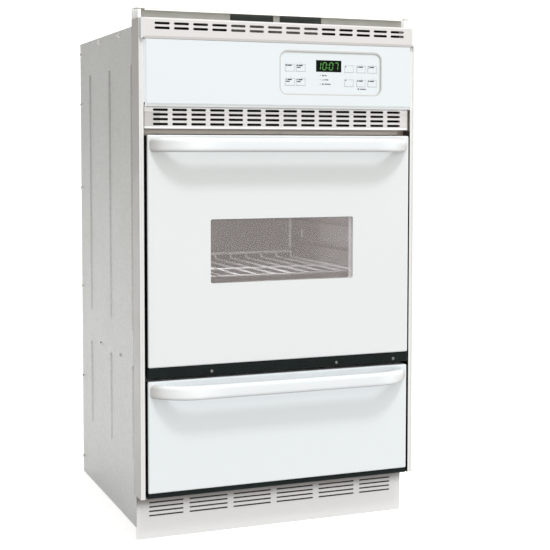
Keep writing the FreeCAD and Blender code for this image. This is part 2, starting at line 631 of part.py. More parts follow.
# ---------------------------------------------------------------- burners, gas
bake = hoop("bake_burner", "XY", 90, 540, 110, 60, 404, lambda s, x, z: ring(s, x, z, 11))
node("bake_burner", fuse(bake, box(-105, 105, 150, 154, P.linerLow, 398), box(-105, 105, 460, 464, P.linerLow, 398)))
broil = hoop("broil_burner", "XY", 90, 540, 130, 60, 755, lambda s, x, z: ring(s, x, z, 9))
node("broil_burner", fuse(broil, box(-100, 100, 170, 173, 757, P.linerHigh), box(-100, 100, 420, 423, 757, P.linerHigh)))

node("gas_valve", cut(
    fuse(box(-210, -140, 560, 611, 60, 120), cyl("Y", P.gasX, 605, P.gasZ, 13, P.chassisBack - 605),
         cyl("Z", -185, 585, 118, 18, 30), box(-205, -155, 570, 600, T, 62), cyl("Z", -160, 590, 118, 9, 14)),
    cyl("Y", P.gasX, P.chassisBack - P.gasLength, P.gasZ, P.gasR, P.gasLength + 5)))
node("gas_manifold", fuse(
    cyl("Z", -160, 590, 132, 6, 623 + 6), cyl("X", -160, 590, 404, 6, 70), cyl("X", -160, 590, 755, 6, 70),
    cyl("Y", -90, 540, 404, 8, 56), cyl("Y", -90, 540, 755, 8, 56)))
node("temperature_sensor", fuse(
    cyl("Y", -170, 425, 715, 3, P.linerBack + T + 2 - 425),
    box(-185, -155, P.linerBack + T, P.linerBack + T + 2, 706, 724),
    cyl("Y", -170, P.linerBack + T + 1, 715, 5, 30)))
node("oven_lamp", fuse(
    cyl("Y", 165, 508, 700, 27, P.linerBack - 508), cyl("Y", 165, P.linerBack - 1, 700, 23, 34)))

# ---------------------------------------------------------------- control panel
keys = [("key_clock", P.keyA, P.keyRowHigh), ("key_stop_time", P.keyB, P.keyRowHigh),
        ("key_timer", P.keyA, P.keyRowLow), ("key_start_time", P.keyB, P.keyRowLow),
        ("key_up", P.keyC, P.keyRowHigh), ("key_down", P.keyC, P.keyRowLow),
        ("key_bake", P.keyD, P.keyRowHigh), ("key_clear", P.keyD, P.keyRowLow),
        ("key_broil", P.keyE, P.keyRowHigh), ("key_clean", P.keyE, P.keyRowLow)]
F = P.panelFront
FLOOR = F + P.padDeep


def key_rect(s, x, z, gap, r):
    rrect(s, x - P.keyW / 2 - gap, x + P.keyW / 2 + gap, z - P.keyTall / 2 - gap, z + P.keyTall / 2 + gap, r)


def openings(y0, y1, inset):
    """Tools for the key, display and lamp openings, from y0 to y1."""
    tools = [box(x - P.keyW / 2 - P.keyFit, x + P.keyW / 2 + P.keyFit, y0, y1,
                 z - P.keyTall / 2 - P.keyFit, z + P.keyTall / 2 + P.keyFit) for _, x, z in keys]
    tools.append(box(P.dispX0 + inset, P.dispX1 - inset, y0, y1, P.dispZ0 + inset, P.dispZ1 - inset))
    return tools + [cyl("Y", P.ledX, y0, z, P.ledR + 0.1, y1 - y0) for z in (P.ledA, P.ledB, P.ledC)]


b = body("control_panel")
s = sketch(b, "YZ", -P.panelX)
poly(s, [(F, P.panelTop), (F, P.panelLow + 7), (F + 3, P.panelLow + 1.5), (0, P.panelLow), (4, P.panelLow),
         (4, P.panelLow + 5), (0, P.panelLow + 6.5), (F + P.panelT, P.panelLow + 8), (F + P.panelT, P.panelTop)])
pad(b, s, P.panelX * 2)
s = sketch(b, "XZ", -(P.wallY - T))
poly(s, [(-P.panelX, 885), (-P.panelX + 2.5, 885), (-P.panelX + 2.5, P.panelTop), (-P.panelX, P.panelTop)])
poly(s, [(P.panelX - 2.5, 885), (P.panelX, 885), (P.panelX, P.panelTop), (P.panelX - 2.5, P.panelTop)])
pad(b, s, P.wallY - T - F - P.panelT + 1)
round_edges(b, lambda m, t, e: abs(m.y - P.panelFront.value) < 0.01 and abs(t.z) > 0.9 and e.Length > 100, 2.0)
s = sketch(b, "XZ", -F)
rrect(s, P.padX0, P.padX1, P.padZ0, P.padZ1, P.padR)
pocket(b, s, P.padDeep)
doc.recompute()
mouth = ["Edge%d" % i for i, e in enumerate(b.Tip.Shape.Edges, start=1)
         if abs(e.CenterOfMass.y - P.panelFront.value) < 0.01
         and P.padX0.value - 0.1 < e.BoundBox.XMin and e.BoundBox.XMax < P.padX1.value + 0.1
         and P.padZ0.value - 0.1 < e.BoundBox.ZMin and e.BoundBox.ZMax < P.padZ1.value + 0.1]
tip = b.Tip
f = b.newObject("PartDesign::Chamfer", "pad_mouth")
f.Base = (tip, mouth)
bind(f, "Size", P.padChamfer)
doc.recompute()
node("control_panel", cut(b, *openings(FLOOR - 0.5, F + P.panelT + 1, 3)))

b = slab("keypad_overlay", P.padX0 + 0.1, P.padX1 - 0.1, P.padZ0 + 0.1, P.padZ1 - 0.1, P.padR - 0.1,
         FLOOR - P.overlayT, FLOOR)
node("keypad_overlay", cut(b, *openings(FLOOR - P.overlayT - 1, FLOOR + 1, -0.1)))

node("display_window", slab("display_window", P.dispX0, P.dispX1, P.dispZ0, P.dispZ1, 0.9,
                            FLOOR - P.overlayT - 0.2, FLOOR))
node("indicator_leds", group(*[cyl("Y", P.ledX, FLOOR - P.overlayT - 0.2, z, P.ledR, P.overlayT + 0.2 + 3.7)
                               for z in (P.ledA, P.ledB, P.ledC)]))
BOARD = FLOOR + 3.7
node("control_board", fuse(
    box(-4, 218, BOARD, BOARD + 1.6, 909, 990), box(70, 134, BOARD + 1, BOARD + 14, 948, 982),
    box(10, 52, BOARD + 1, BOARD + 34, 915, 955), box(150, 210, BOARD + 1, BOARD + 18, 915, 935),
    cyl("Y", 2, F + P.panelT, 913, 3, BOARD - F - P.panelT + 1), cyl("Y", 212, F + P.panelT, 913, 3, BOARD - F - P.panelT + 1),
    cyl("Y", 2, F + P.panelT, 986, 3, BOARD - F - P.panelT + 1), cyl("Y", 212, F + P.panelT, 986, 3, BOARD - F - P.panelT + 1)))

# Each key is a cap in its own hole, held in by a flange behind the panel.
for name, x, z in keys:
    b = body(name)
    s = sketch(b, "XZ", -(F + P.panelT + 0.1))
    key_rect(s, x, z, 0, 1.5)
    pad(b, s, P.panelT + 0.1 - P.padDeep + P.overlayT + 0.25)
    s = sketch(b, "XZ", -(F + P.panelT + 0.7))
    key_rect(s, x, z, 1.2, 1.5)
    pad(b, s, 0.6)
    round_edges(b, lambda m, t, e: m.y < num(FLOOR) - P.overlayT.value - 0.2 and abs(t.y) < 0.1, 0.2)
    node(name, b)

node("junction_box", cut(
    box(160, 240, 560, P.chassisBack - T, 900, 980),
    box(160 + 1.2, 240 - 1.2, 560 + 1.2, P.chassisBack, 900 + 1.2, 980 - 1.2)))

# ---------------------------------------------------------------- hinges
def hinge_fixed(side):
    a, c = (246, 249) if side > 0 else (-249, -246)
    x0, x1 = (246, 276) if side > 0 else (-276, -246)
    pin0 = 247 if side > 0 else -259.5
    return fuse(box(x0, x1, P.wallY - T - 2.5, P.wallY - T, 339, 374),
                box(a, c, P.pivotY, P.wallY - T - 1, P.pivotZ - 7, P.pivotZ + 7),
                cyl("X", a, P.pivotY, P.pivotZ, 7, 3),
                cyl("X", pin0, P.pivotY, P.pivotZ, P.pinR, 12.5))


def hinge_arm(side):
    a, c = (252, 258) if side > 0 else (-258, -252)
    return cut(fuse(cyl("X", a, P.pivotY, P.pivotZ, 8, 6), box(a, c, 0, P.doorRear, P.pivotZ + 2, 420)),
               cyl("X", a - 5, P.pivotY, P.pivotZ, P.pinR + P.pinFit, 16))


node("hinge_receivers", group(hinge_fixed(-1), hinge_fixed(1)))
node("door_hinge_arms", group(hinge_arm(-1), hinge_arm(1)))

# ---------------------------------------------------------------- door
def notches(y0, y1, z0, z1):
    return [box(244, 261, y0, y1, z0, z1), box(-261, -244, y0, y1, z0, z1)]


def pan(name, x, z0, z1, y0, y1, r):
    """A drawn sheet front with rolled edges, open at the back."""
    b = slab(name, -Q.of(x), x, z0, z1, r, y0, y1)
    round_edges(b, lambda m, t, e: abs(m.y - num(y0)) < 0.01, r)
    s = sketch(b, "XZ", -Q.of(y1))
    rrect(s, -Q.of(x) + T, Q.of(x) - T, Q.of(z0) + T, Q.of(z1) - T, 2)
    pocket(b, s, Q.of(y1) - y0 - T, back=True)
    return b


b = pan("door_outer_panel_blank", P.doorX, P.doorSplit, P.doorHigh, P.doorFront, P.doorRear, 3)
s = sketch(b, "XZ", -(P.doorFront - 1))
rrect(s, -P.windowX, P.windowX, P.windowLow, P.windowHigh, 4)
pocket(b, s, 4)
s = sketch(b, "XY", P.doorHigh + 1)
for x in (-262, 0, 262):
    ring(s, x, 12, 2)
pocket(b, s, 4)
node("door_outer_panel", cut(b, *notches(-1, 25, P.doorSplit - 2, P.doorSplit + 3)))

b = slab("door_bottom_trim_blank", -289, 289, P.doorLow, P.doorSplit, 2, -4.5, 18)
round_edges(b, lambda m, t, e: abs(m.y + 4.5) < 0.01 and abs(t.x) > 0.9, 4)
s = sketch(b, "XZ", Q.of(-18))
rrect(s, -287.5, 287.5, P.doorLow + 1.5, P.doorSplit - 1.5, 1)
pocket(b, s, 21, back=True)
s = sketch(b, "XZ", Q.of(6))
for x in (-155, 121, 254):
    ring(s, x, 346, 2)
pocket(b, s, 4)
node("door_bottom_trim", cut(b, *notches(-2.5, 25, P.doorLow - 2, P.doorSplit + 2)))

b = body("door_inner_liner_blank")
s = sketch(b, "XZ", -(P.doorRear + T))
rrect(s, -286, 286, 345, 820, 4)
pad(b, s, T)
s = sketch(b, "XZ", -P.plugRear)
rrect(s, -P.plugX, P.plugX, P.plugLow, P.plugHigh, 12)
pad(b, s, P.plugRear - P.doorRear - 0.6)
round_edges(b, lambda m, t, e: abs(m.y - P.plugRear.value) < 0.01, 3)
s = sketch(b, "XZ", -P.doorRear)
rrect(s, -P.plugX + T, P.plugX - T, P.plugLow + T, P.plugHigh - T, 10.8)
pocket(b, s, P.plugRear - P.doorRear - T)
s = sketch(b, "XZ", -P.plugRear)
rrect(s, -P.winRearX, P.winRearX, P.winRearLow, P.winRearHigh, 8)
pad(b, s, P.plugRear - P.doorRear - T)
s = sketch(b, "XZ", Q.of(0))
rrect(s, -P.winRearX + T, P.winRearX - T, P.winRearLow + T, P.winRearHigh - T, 6.8)
pocket(b, s, 60)
s = sketch(b, "XZ", Q.of(0))
rrect(s, -44, 22, 794, 808, 3)
pocket(b, s, 30)
node("door_inner_liner", cut(b, *notches(15, 25, 340, 361)))

b = slab("door_gasket", -243, 243, 374, 779, 14, P.plugRear, P.wallY - T)
s = sketch(b, "XZ", -P.plugRear)
rrect(s, -235, 235, 382, 771, 8)
pocket(b, s, 10)
node("door_gasket", b)

node("door_window_outer", slab("door_window_outer", -172, 172, 509, 668, 6, P.doorFront + T, P.doorFront + T + P.glassT))
b = slab("door_window_frame", -P.windowX - 4, P.windowX + 4, P.windowLow - 4, P.windowHigh + 4, 6,
         P.doorFront + T + P.glassT, 17.2)
s = sketch(b, "XZ", P.doorFront * 0 + 5)
rrect(s, -P.windowX - 1, P.windowX + 1, P.windowLow - 1, P.windowHigh + 1, 4)
pocket(b, s, 40)
node("door_window_frame", b)
node("door_window_inner", slab("door_window_inner", -172, 172, 510.5, 666.5, 6, 17.2, 17.2 + P.glassT))

node("door_insulation", cut(
    box(-256, 256, 1, P.plugRear - T - 0.3, 377, 780),
    box(-P.winRearX, P.winRearX, -5, 60, P.winRearLow, P.winRearHigh),
    box(240, 262, -5, 60, 370, 426), box(-262, -240, -5, 60, 370, 426)))


node("door_handle", bow("door_handle", P.gripFlat, P.doorFront, P.doorFront - P.gripOut, P.gripBend,
                        P.doorGripZ, P.gripTall))


# Pan-head screws: three in the top edge, three in the black lower trim.
def screw(name, points, offset_role):
    b = body(name)
    s = sketch(b, "XY", 0)
    poly(s, points)
    f = b.newObject("PartDesign::Revolution", fresh("turn"))
    f.Profile = s
    f.ReferenceAxis = (s, ["V_Axis"])
    f.Angle = 360
    return b


pan_head = [(0, -9), (1.95, -9), (1.95, 0), (4.5, 0), (4.5, 0.8), (3.2, 1.7), (0, 1.7)]
small_head = [(0, -6), (1.95, -6), (1.95, 0), (3.2, 0), (3.2, 0.7), (2.2, 1.5), (0, 1.5)]
short_head = [(0, -2.1), (1.95, -2.1), (1.95, 0), (3.2, 0), (3.2, 0.7), (2.2, 1.5), (0, 1.5)]
screws = []
for x in (-262, 0, 262):
    b = screw("top_screw", pan_head, "Z")
    put(b, x, 12, P.doorHigh, Rotation(Vector(1, 0, 0), 90))
    screws.append(b)
for x in (-155, 121, 254):
    b = screw("trim_screw", short_head if x == 254 else small_head, "Y")
    put(b, x, -4.5, 346, Rotation(Vector(1, 0, 0), 180))
    screws.append(b)
node("door_screws", group(*screws))

# ---------------------------------------------------------------- drawer
node("drawer_front", pan("drawer_front", P.doorX, P.drawerLow, P.drawerHigh, P.drawerFront, P.drawerRear, 3))
b = slab("drawer_bottom_trim", -289, 289, P.drawerTrimLow, P.drawerLow, 2, -1.5, P.drawerRear)
round_edges(b, lambda m, t, e: abs(m.y + 1.5) < 0.01 and abs(t.x) > 0.9, 4)
s = sketch(b, "XZ", -P.drawerRear)
rrect(s, -287.5, 287.5, P.drawerTrimLow + 1.5, P.drawerLow - 1.5, 1)
pocket(b, s, P.drawerRear, back=True)
node("drawer_bottom_trim", b)
node("drawer_handle", bow("drawer_handle", P.gripFlat, P.drawerFront, P.drawerFront - P.gripOut, P.gripBend,
                          P.drawerGripZ, P.gripTall))
D = P.drawerRear + T
node("drawer_box", group(
    box(-286, 286, P.drawerRear, D, 97, 330), box(-P.boxX, P.boxX, D, P.boxRear, P.boxLow, P.boxLow + T),
    box(-P.boxX, -P.boxX + T, D, P.boxRear - T, P.boxLow + T, P.boxHigh),
    box(P.boxX - T, P.boxX, D, P.boxRear - T, P.boxLow + T, P.boxHigh),
    box(-P.boxX, P.boxX, P.boxRear - T, P.boxRear, P.boxLow + T, P.boxHigh)))
node("drawer_slides", group(
    box(-P.boxX - P.slideW, -P.boxX, 45, 470, P.slideLow, P.slideHigh),
    box(P.boxX, P.boxX + P.slideW, 45, 470, P.slideLow, P.slideHigh)))
lo, hi, g = P.slideLow, P.slideHigh, P.slideFit
rail = [(229.5, lo - g - 2), (236, lo - g - 2), (236, 196), (P.chassisX - T, 196), (P.chassisX - T, 197.5),
        (236, 197.5), (236, hi + g + 1.7), (229.5, hi + g + 1.7), (229.5, hi + g), (234.5, hi + g),
        (234.5, lo - g), (229.5, lo - g)]
node("drawer_rails", group(prism("rail_right", "XZ", rail, 64, 500),
                           prism("rail_left", "XZ", mirrored(rail), 64, 500)))

# ---------------------------------------------------------------- door latch
node("latch_motor", cut(
    fuse(box(8, 52, 22, P.wallY - T, 838, 868), cyl("Z", 30, 36, 832, 8, 7)),
    cyl("Z", 30, 36, 825, 3.05, 22)))
node("latch_hook", fuse(
    cyl("Z", 30, 36, 797, 3, 48), cyl("Z", 30, 36, 799, 7, 3), box(-32, 30, 31, 41, 799, 802),
    box(-32, -24, 26, 41, 799, 802)))

# ---------------------------------------------------------------- rack
Z, R, B = P.rackZ, P.rackRod, P.rackBar
wires = [cyl("X", -P.rackX, P.rackFront, Z, R, P.rackX * 2), cyl("X", -P.rackX, P.rackBack, P.rackRise, R, P.rackX * 2),
         cyl("X", -P.rackX, P.rackMid, Z - R + B, B, P.rackX * 2)]
for side in (-1, 1):
    wires.append(cyl("Y", side * P.rackX, P.rackFront, Z, R, P.rackBack - P.rackFront))
    wires.append(cyl("Z", side * P.rackX, P.rackBack, Z, R, P.rackRise - Z))
    for k in range(5):
        x = P.rackStep * (k + 0.5) * side
        wires.append(cyl("Y", x, P.rackFront, Z, B, P.rackBack - P.rackFront))
        wires.append(cyl("Z", x, P.rackBack, Z, B, P.rackRise - Z))
for x, y, z, r in ([(s * 220, P.rackFront, Z, R) for s in (-1, 1)] + [(s * 220, P.rackBack, Z, R) for s in (-1, 1)] +
                   [(s * 220, P.rackBack, P.rackRise, R) for s in (-1, 1)]):
    o = doc.addObject("Part::Sphere", fresh("knuckle"))
    bind(o, "Radius", r)
    put(o, x, y, z)
    wires.append(o)
node("oven_rack", fuse(*wires))

# ---------------------------------------------------------------- checks, files
doc.recompute()
for o in doc.Objects:
    if "Invalid" in o.State or "Error" in o.State:
        raise SystemExit("failed object: %s (%s) %s" % (o.Name, o.Label, o.State))
os.makedirs("parts", exist_ok=True)
names = [n for n, _ in NODES]
if len(set(names)) != len(names) or len(names) > 60:
    raise SystemExit("bad node names: %d" % len(names))
total = None
for name, o in NODES:
    shape = o.Shape
    if shape.isNull() or not shape.isValid() or not shape.Solids:
        raise SystemExit("bad shape: " + name)
    shape.exportStep("parts/%s.step" % name)
    bb = shape.BoundBox
    total = FreeCAD.BoundBox(bb) if total is None else total.united(bb)
    print("%-22s solids %2d  vol %11.0f  x %7.1f %7.1f  y %7.1f %7.1f  z %7.1f %7.1f" % (
        name, len(shape.Solids), shape.Volume, bb.XMin, bb.XMax, bb.YMin, bb.YMax, bb.ZMin, bb.ZMax))
print("nodes", len(names), "box", total, "originY", P.originY.value)
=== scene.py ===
import math

import bmesh
import bpy
from mathutils import Matrix, Vector


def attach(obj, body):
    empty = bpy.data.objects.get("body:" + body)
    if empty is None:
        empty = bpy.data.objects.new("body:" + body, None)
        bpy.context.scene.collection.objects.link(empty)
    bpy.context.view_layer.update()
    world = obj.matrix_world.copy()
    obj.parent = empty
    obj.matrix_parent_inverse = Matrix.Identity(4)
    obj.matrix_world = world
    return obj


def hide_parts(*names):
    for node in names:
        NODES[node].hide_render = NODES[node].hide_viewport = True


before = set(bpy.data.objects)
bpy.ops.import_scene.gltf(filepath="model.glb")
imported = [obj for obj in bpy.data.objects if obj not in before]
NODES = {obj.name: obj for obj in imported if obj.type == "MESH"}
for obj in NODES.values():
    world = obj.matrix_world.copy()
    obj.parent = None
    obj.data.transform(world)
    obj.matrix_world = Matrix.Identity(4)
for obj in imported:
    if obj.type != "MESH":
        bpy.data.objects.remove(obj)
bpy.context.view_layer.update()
scene = bpy.context.scene

# Sizes below are millimetres in the CAD source's own layout, whose Y = 0 is the
# front of the side trims. at() turns them into metres in the row frame.
BACK = 284.25


def at(x, y, z):
    return Vector((x / 1000.0, (y - BACK) / 1000.0, z / 1000.0))


# ------------------------------------------------------------------ materials
def lin(r, g, b):
    """sRGB 0-255 to a linear colour."""
    def one(c):
        c /= 255.0
        return c / 12.92 if c <= 0.04045 else ((c + 0.055) / 1.055) ** 2.4
    return (one(r), one(g), one(b), 1.0)


def shade(c, k):
    return (min(1.0, c[0] * k), min(1.0, c[1] * k), min(1.0, c[2] * k), 1.0)


class Mat:
    """A node material on object coordinates, which move with the piece."""

    def __init__(self, name, rough=0.4, metal=0.0, spec=0.5, ior=1.45, coat=0.0, coat_rough=0.1):
        self.m = bpy.data.materials.new(name)
        self.m.use_nodes = True
        self.t = self.m.node_tree
        self.p = self.t.nodes["Principled BSDF"]
        self.p.inputs["Roughness"].default_value = rough
        self.p.inputs["Metallic"].default_value = metal
        self.p.inputs["Specular IOR Level"].default_value = spec
        self.p.inputs["IOR"].default_value = ior
        self.p.inputs["Coat Weight"].default_value = coat
        self.p.inputs["Coat Roughness"].default_value = coat_rough
        self.co = self.t.nodes.new("ShaderNodeTexCoord")
        self.bumps = None

    def link(self, a, b):
        self.t.links.new(a, b)

    def coords(self, stretch=(1, 1, 1), turn=(0, 0, 0)):
        n = self.t.nodes.new("ShaderNodeMapping")
        n.inputs["Scale"].default_value = stretch
        n.inputs["Rotation"].default_value = turn
        self.link(self.co.outputs["Object"], n.inputs["Vector"])
        return n.outputs["Vector"]

    def noise(self, scale, detail=3.0, rough=0.5, stretch=(1, 1, 1), distort=0.0):
        n = self.t.nodes.new("ShaderNodeTexNoise")
        n.inputs["Scale"].default_value = scale
        n.inputs["Detail"].default_value = detail
        n.inputs["Roughness"].default_value = rough
        n.inputs["Distortion"].default_value = distort
        self.link(self.coords(stretch), n.inputs["Vector"])
        return n.outputs["Fac"]

    def cells(self, scale, out="Color", feature="F1", stretch=(1, 1, 1)):
        n = self.t.nodes.new("ShaderNodeTexVoronoi")
        n.feature = feature
        n.inputs["Scale"].default_value = scale
        self.link(self.coords(stretch), n.inputs["Vector"])
        return n.outputs[out]

    def waves(self, scale, direction="X", kind="BANDS", distort=0.0, stretch=(1, 1, 1)):
        n = self.t.nodes.new("ShaderNodeTexWave")
        n.wave_type = kind
        if kind == "BANDS":
            n.bands_direction = direction
        n.inputs["Scale"].default_value = scale
        n.inputs["Distortion"].default_value = distort
        self.link(self.coords(stretch), n.inputs["Vector"])
        return n.outputs["Fac"]

    def ramp(self, fac, stops, interpolation="LINEAR"):
        n = self.t.nodes.new("ShaderNodeValToRGB")
        n.color_ramp.interpolation = interpolation
        e = n.color_ramp.elements
        while len(e) < len(stops):
            e.new(0.5)
        for k, (p, c) in enumerate(stops):
            e[k].position = p
            e[k].color = c if len(c) == 4 else (*c, 1.0)
        self.link(fac, n.inputs["Fac"])
        return n.outputs["Color"]

    def range(self, fac, a, b, lo=0.0, hi=1.0, smooth=False):
        n = self.t.nodes.new("ShaderNodeMapRange")
        if smooth:
            n.interpolation_type = "SMOOTHSTEP"
        n.inputs["From Min"].default_value = lo
        n.inputs["From Max"].default_value = hi
        n.inputs["To Min"].default_value = a
        n.inputs["To Max"].default_value = b
        self.link(fac, n.inputs["Value"])
        return n.outputs["Result"]

    def mix(self, fac, a, b, mode="MIX"):
        n = self.t.nodes.new("ShaderNodeMix")
        n.data_type = "RGBA"
        n.blend_type = mode
        for sock, v in ((n.inputs[0], fac), (n.inputs[6], a), (n.inputs[7], b)):
            if isinstance(v, bpy.types.NodeSocket):
                self.link(v, sock)
            else:
                sock.default_value = v
        return n.outputs[2]

    def math(self, op, a, b=0.0):
        n = self.t.nodes.new("ShaderNodeMath")
        n.operation = op
        for k, v in ((0, a), (1, b)):
            if isinstance(v, bpy.types.NodeSocket):
                self.link(v, n.inputs[k])
            else:
                n.inputs[k].default_value = v
        return n.outputs["Value"]

    def axis(self, which):
        n = self.t.nodes.new("ShaderNodeSeparateXYZ")
        self.link(self.co.outputs["Object"], n.inputs["Vector"])
        return n.outputs[which]

    def zone(self, *limits, soft=0.15):
        """1 inside a block of the CAD layout, in mm. A limit is (axis, low, high); A is the distance from the middle."""
        out = None
        for which, lo, hi in limits:
            v = self.axis("X" if which == "A" else which)
            if which == "A":
                v = self.math("ABSOLUTE", v)
            off = BACK if which == "Y" else 0.0
            f = self.math("MULTIPLY", self.range(v, 0.0, 1.0, (lo - off - soft) / 1000, (lo - off + soft) / 1000),
                          self.range(v, 1.0, 0.0, (hi - off - soft) / 1000, (hi - off + soft) / 1000))
            out = f if out is None else self.math("MULTIPLY", out, f)
        return out

    def colour(self, out):
        self.link(out, self.p.inputs["Base Color"])

    def roughness(self, out):
        self.link(out, self.p.inputs["Roughness"])

    def bump(self, height, distance, strength=1.0):
        n = self.t.nodes.new("ShaderNodeBump")
        n.inputs["Distance"].default_value = distance
        n.inputs["Strength"].default_value = strength
        self.link(height, n.inputs["Height"])
        if self.bumps is not None:
            self.link(self.bumps, n.inputs["Normal"])
        self.bumps = n.outputs["Normal"]
        self.link(self.bumps, self.p.inputs["Normal"])


def enamel(name, base, rough=0.3, coat=0.35, peel=0.000012, areas=(), spec=0.5, painted_shade_fade=None, painted_light_glow=None):
    """Baked enamel on sheet steel: orange peel and faint mottling. areas are (colour, limits) painted over it, some of
    them painted shade or painted highlights.
    The (low z, high z, tint) argument is painted shade, the colour darkening toward the tint on its way up; the (low z,
    high z, strength) argument is painted light, an emission dying out upward."""
    m = Mat(name, rough=rough, coat=coat, coat_rough=0.12, spec=spec)
    c = m.ramp(m.noise(3.2, 4.0, 0.6), [(0.3, shade(base, 0.996)), (0.7, shade(base, 1.004))])
    for paint, limits in areas:
        c = m.mix(m.zone(*limits), c, paint)
    # painted shade: the colour darkens toward the tint upward
    if painted_shade_fade:
        c = m.mix(m.range(m.axis("Z"), 0.0, 1.0, painted_shade_fade[0], painted_shade_fade[1], True), c, painted_shade_fade[2], "MULTIPLY")
    # painted light: an emission that dies out upward
    if painted_light_glow:
        m.link(m.range(m.axis("Z"), painted_light_glow[2], 0.0, painted_light_glow[0], painted_light_glow[1], True), m.p.inputs["Emission Strength"])
        m.p.inputs["Emission Color"].default_value = (1.0, 1.0, 0.99, 1)
    m.colour(c)
    m.roughness(m.range(m.noise(14.0, 4.0, 0.6), rough * 0.86, rough * 1.18, 0.3, 0.7))
    m.bump(m.noise(420.0, 2.0, 0.45), peel)
    return m.m


def metal(name, base, rough=0.35, grain=0.000012, stretch=(1, 1, 1), metallic=0.9, wear=0.9):
    """Plain sheet or bar metal with drawn grain and stains."""
    m = Mat(name, rough=rough, metal=metallic)
    m.colour(m.ramp(m.noise(22.0, 5.0, 0.62, stretch), [(0.3, shade(base, wear)), (0.72, shade(base, 1.06))]))
    m.roughness(m.range(m.noise(60.0, 4.0, 0.6, stretch), rough * 0.75, rough * 1.3, 0.3, 0.7))
    m.bump(m.noise(900.0, 2.0, 0.5, stretch), grain)
    return m.m


PITCH = (0.006, 0.006, 0.006, 1)
WHITE = enamel("white_enamel", (0.76, 0.785, 0.795, 1))
# Door and drawer enamel, with a slightly lighter, cooler white on the drawer. The side returns of both are near-black:
# partly a dark side finish, partly painted shade for the gap beside the trims.
DOOR_WHITE = enamel("white_enamel_door", (0.745, 0.765, 0.768, 1), rough=0.34, coat=0.25, areas=[
    ((0.762, 0.798, 0.818, 1), [("Z", 90, 335)]), (PITCH, [("A", 286.7, 300), ("Y", -3.4, 60), ("Z", 340, 830)]), (PITCH, [("A", 286.4, 300), ("Y", -0.4, 60), ("Z", 90, 335)])])
# Side trims, with painted shade: the inner edge beside the door and drawer gap is near-black, brown-grey at its top,
# and the outer side faces are a darker warm grey.
TRIM_WHITE = enamel("white_enamel_trim", (0.77, 0.765, 0.75, 1), rough=0.32, areas=[
    ((0.018, 0.014, 0.012, 1), [("A", 292.0, 293.2), ("Z", 94, 877)]),
    ((0.26, 0.22, 0.195, 1), [("A", 292.0, 293.2), ("Z", 832, 877)]),
    ((0.405, 0.382, 0.36, 1), [("A", 302.4, 304)])])
# Top grille. Its ends are whiter, partly a white end finish and partly painted light on the bevels, and a painted
# highlight runs along its top edge.
GRILLE_WHITE = enamel("white_enamel_grille", (0.69, 0.665, 0.655, 1), rough=0.4, coat=0.1, areas=[
    ((0.79, 0.80, 0.80, 1), [("A", 292.4, 304)]), ((0.84, 0.835, 0.825, 1), [("Z", 1047.4, 1051), ("Y", -9.5, -6)])])
# Lower grille, with light and shade painted in. Painted shade: the left end is darker, and the lip behind the gap above
# the door is warm grey with a darker top. Painted light: bands along the top and bottom edges are lighter, and the band
# just under the control panel is near-white.
LOW_GRILLE = enamel("white_enamel_low_grille", (0.69, 0.665, 0.65, 1), rough=0.4, coat=0.1, areas=[
    ((0.53, 0.51, 0.495, 1), [("X", -300, -258)]), ((0.88, 0.865, 0.86, 1), [("Y", 0, 8), ("Z", 867.5, 872)]),
    ((0.95, 0.95, 0.95, 1), [("Y", 0, 8), ("Z", 872, 880)]), ((0.88, 0.875, 0.87, 1), [("Y", 0, 8), ("Z", 830, 838.4)]),
    ((0.52, 0.47, 0.425, 1), [("Y", 8, 30), ("Z", 815, 835.2)]), ((0.34, 0.30, 0.27, 1), [("Y", 8, 30), ("Z", 830.6, 835.2)])])
# Toe panel: painted shade darkens its top under the drawer, and painted light glows faintly as emission on its lower
# part.
TOE_WHITE = enamel("white_enamel_toe", (0.785, 0.782, 0.782, 1), rough=0.45, coat=0.1, painted_shade_fade=(0.060, 0.084, (0.30, 0.275, 0.26, 1)),
                   painted_light_glow=(0.046, 0.078, 0.05))


def panel_white():
    """The panel's enamel, with painted light on its lower lip, a soft grey line of painted shade round the raised edge
    of its keypad recess, and a faint painted glow on its left side face.
    """
    base = (0.735, 0.772, 0.795, 1)
    m = Mat("white_enamel_panel", rough=0.28, coat=0.4, coat_rough=0.12)
    c = m.ramp(m.noise(3.2, 4.0, 0.6), [(0.3, shade(base, 0.996)), (0.7, shade(base, 1.004))])
    # painted light: the lower lip is lighter
    c = m.mix(m.zone(("Z", 870, 880.2)), c, (0.93, 0.93, 0.92, 1))
    # distance outward from a rounded rectangle, in metres
    dx = m.math("SUBTRACT", m.math("ABSOLUTE", m.math("SUBTRACT", m.axis("X"), 0.1069)), 0.1125 - 0.014)
    dz = m.math("SUBTRACT", m.math("ABSOLUTE", m.math("SUBTRACT", m.axis("Z"), 0.95025)), 0.04235 - 0.014)
    dx, dz = m.math("MAXIMUM", dx, 0.0), m.math("MAXIMUM", dz, 0.0)
    d = m.math("SQRT", m.math("ADD", m.math("MULTIPLY", dx, dx), m.math("MULTIPLY", dz, dz)))
    # painted shade: a soft grey line round the keypad recess
    f = m.math("MULTIPLY", m.range(d, 0.0, 1.0, 0.0128, 0.0136), m.range(d, 1.0, 0.0, 0.0170, 0.0180))
    m.colour(m.mix(f, c, (0.56, 0.555, 0.545, 1)))
    # painted light: the panel's left side face glows faintly
    m.link(m.math("MULTIPLY", m.zone(("X", -300, -289.2), ("Y", -5.4, 30)), 0.42), m.p.inputs["Emission Strength"])
    m.p.inputs["Emission Color"].default_value = (0.93, 0.96, 0.97, 1)
    m.roughness(m.range(m.noise(14.0, 4.0, 0.6), 0.31, 0.34, 0.3, 0.7))
    m.bump(m.noise(420.0, 2.0, 0.45), 0.000003)
    return m.m


PANEL_WHITE = panel_white()

BAR = Mat("white_bar", rough=0.27, coat=0.5, coat_rough=0.08)
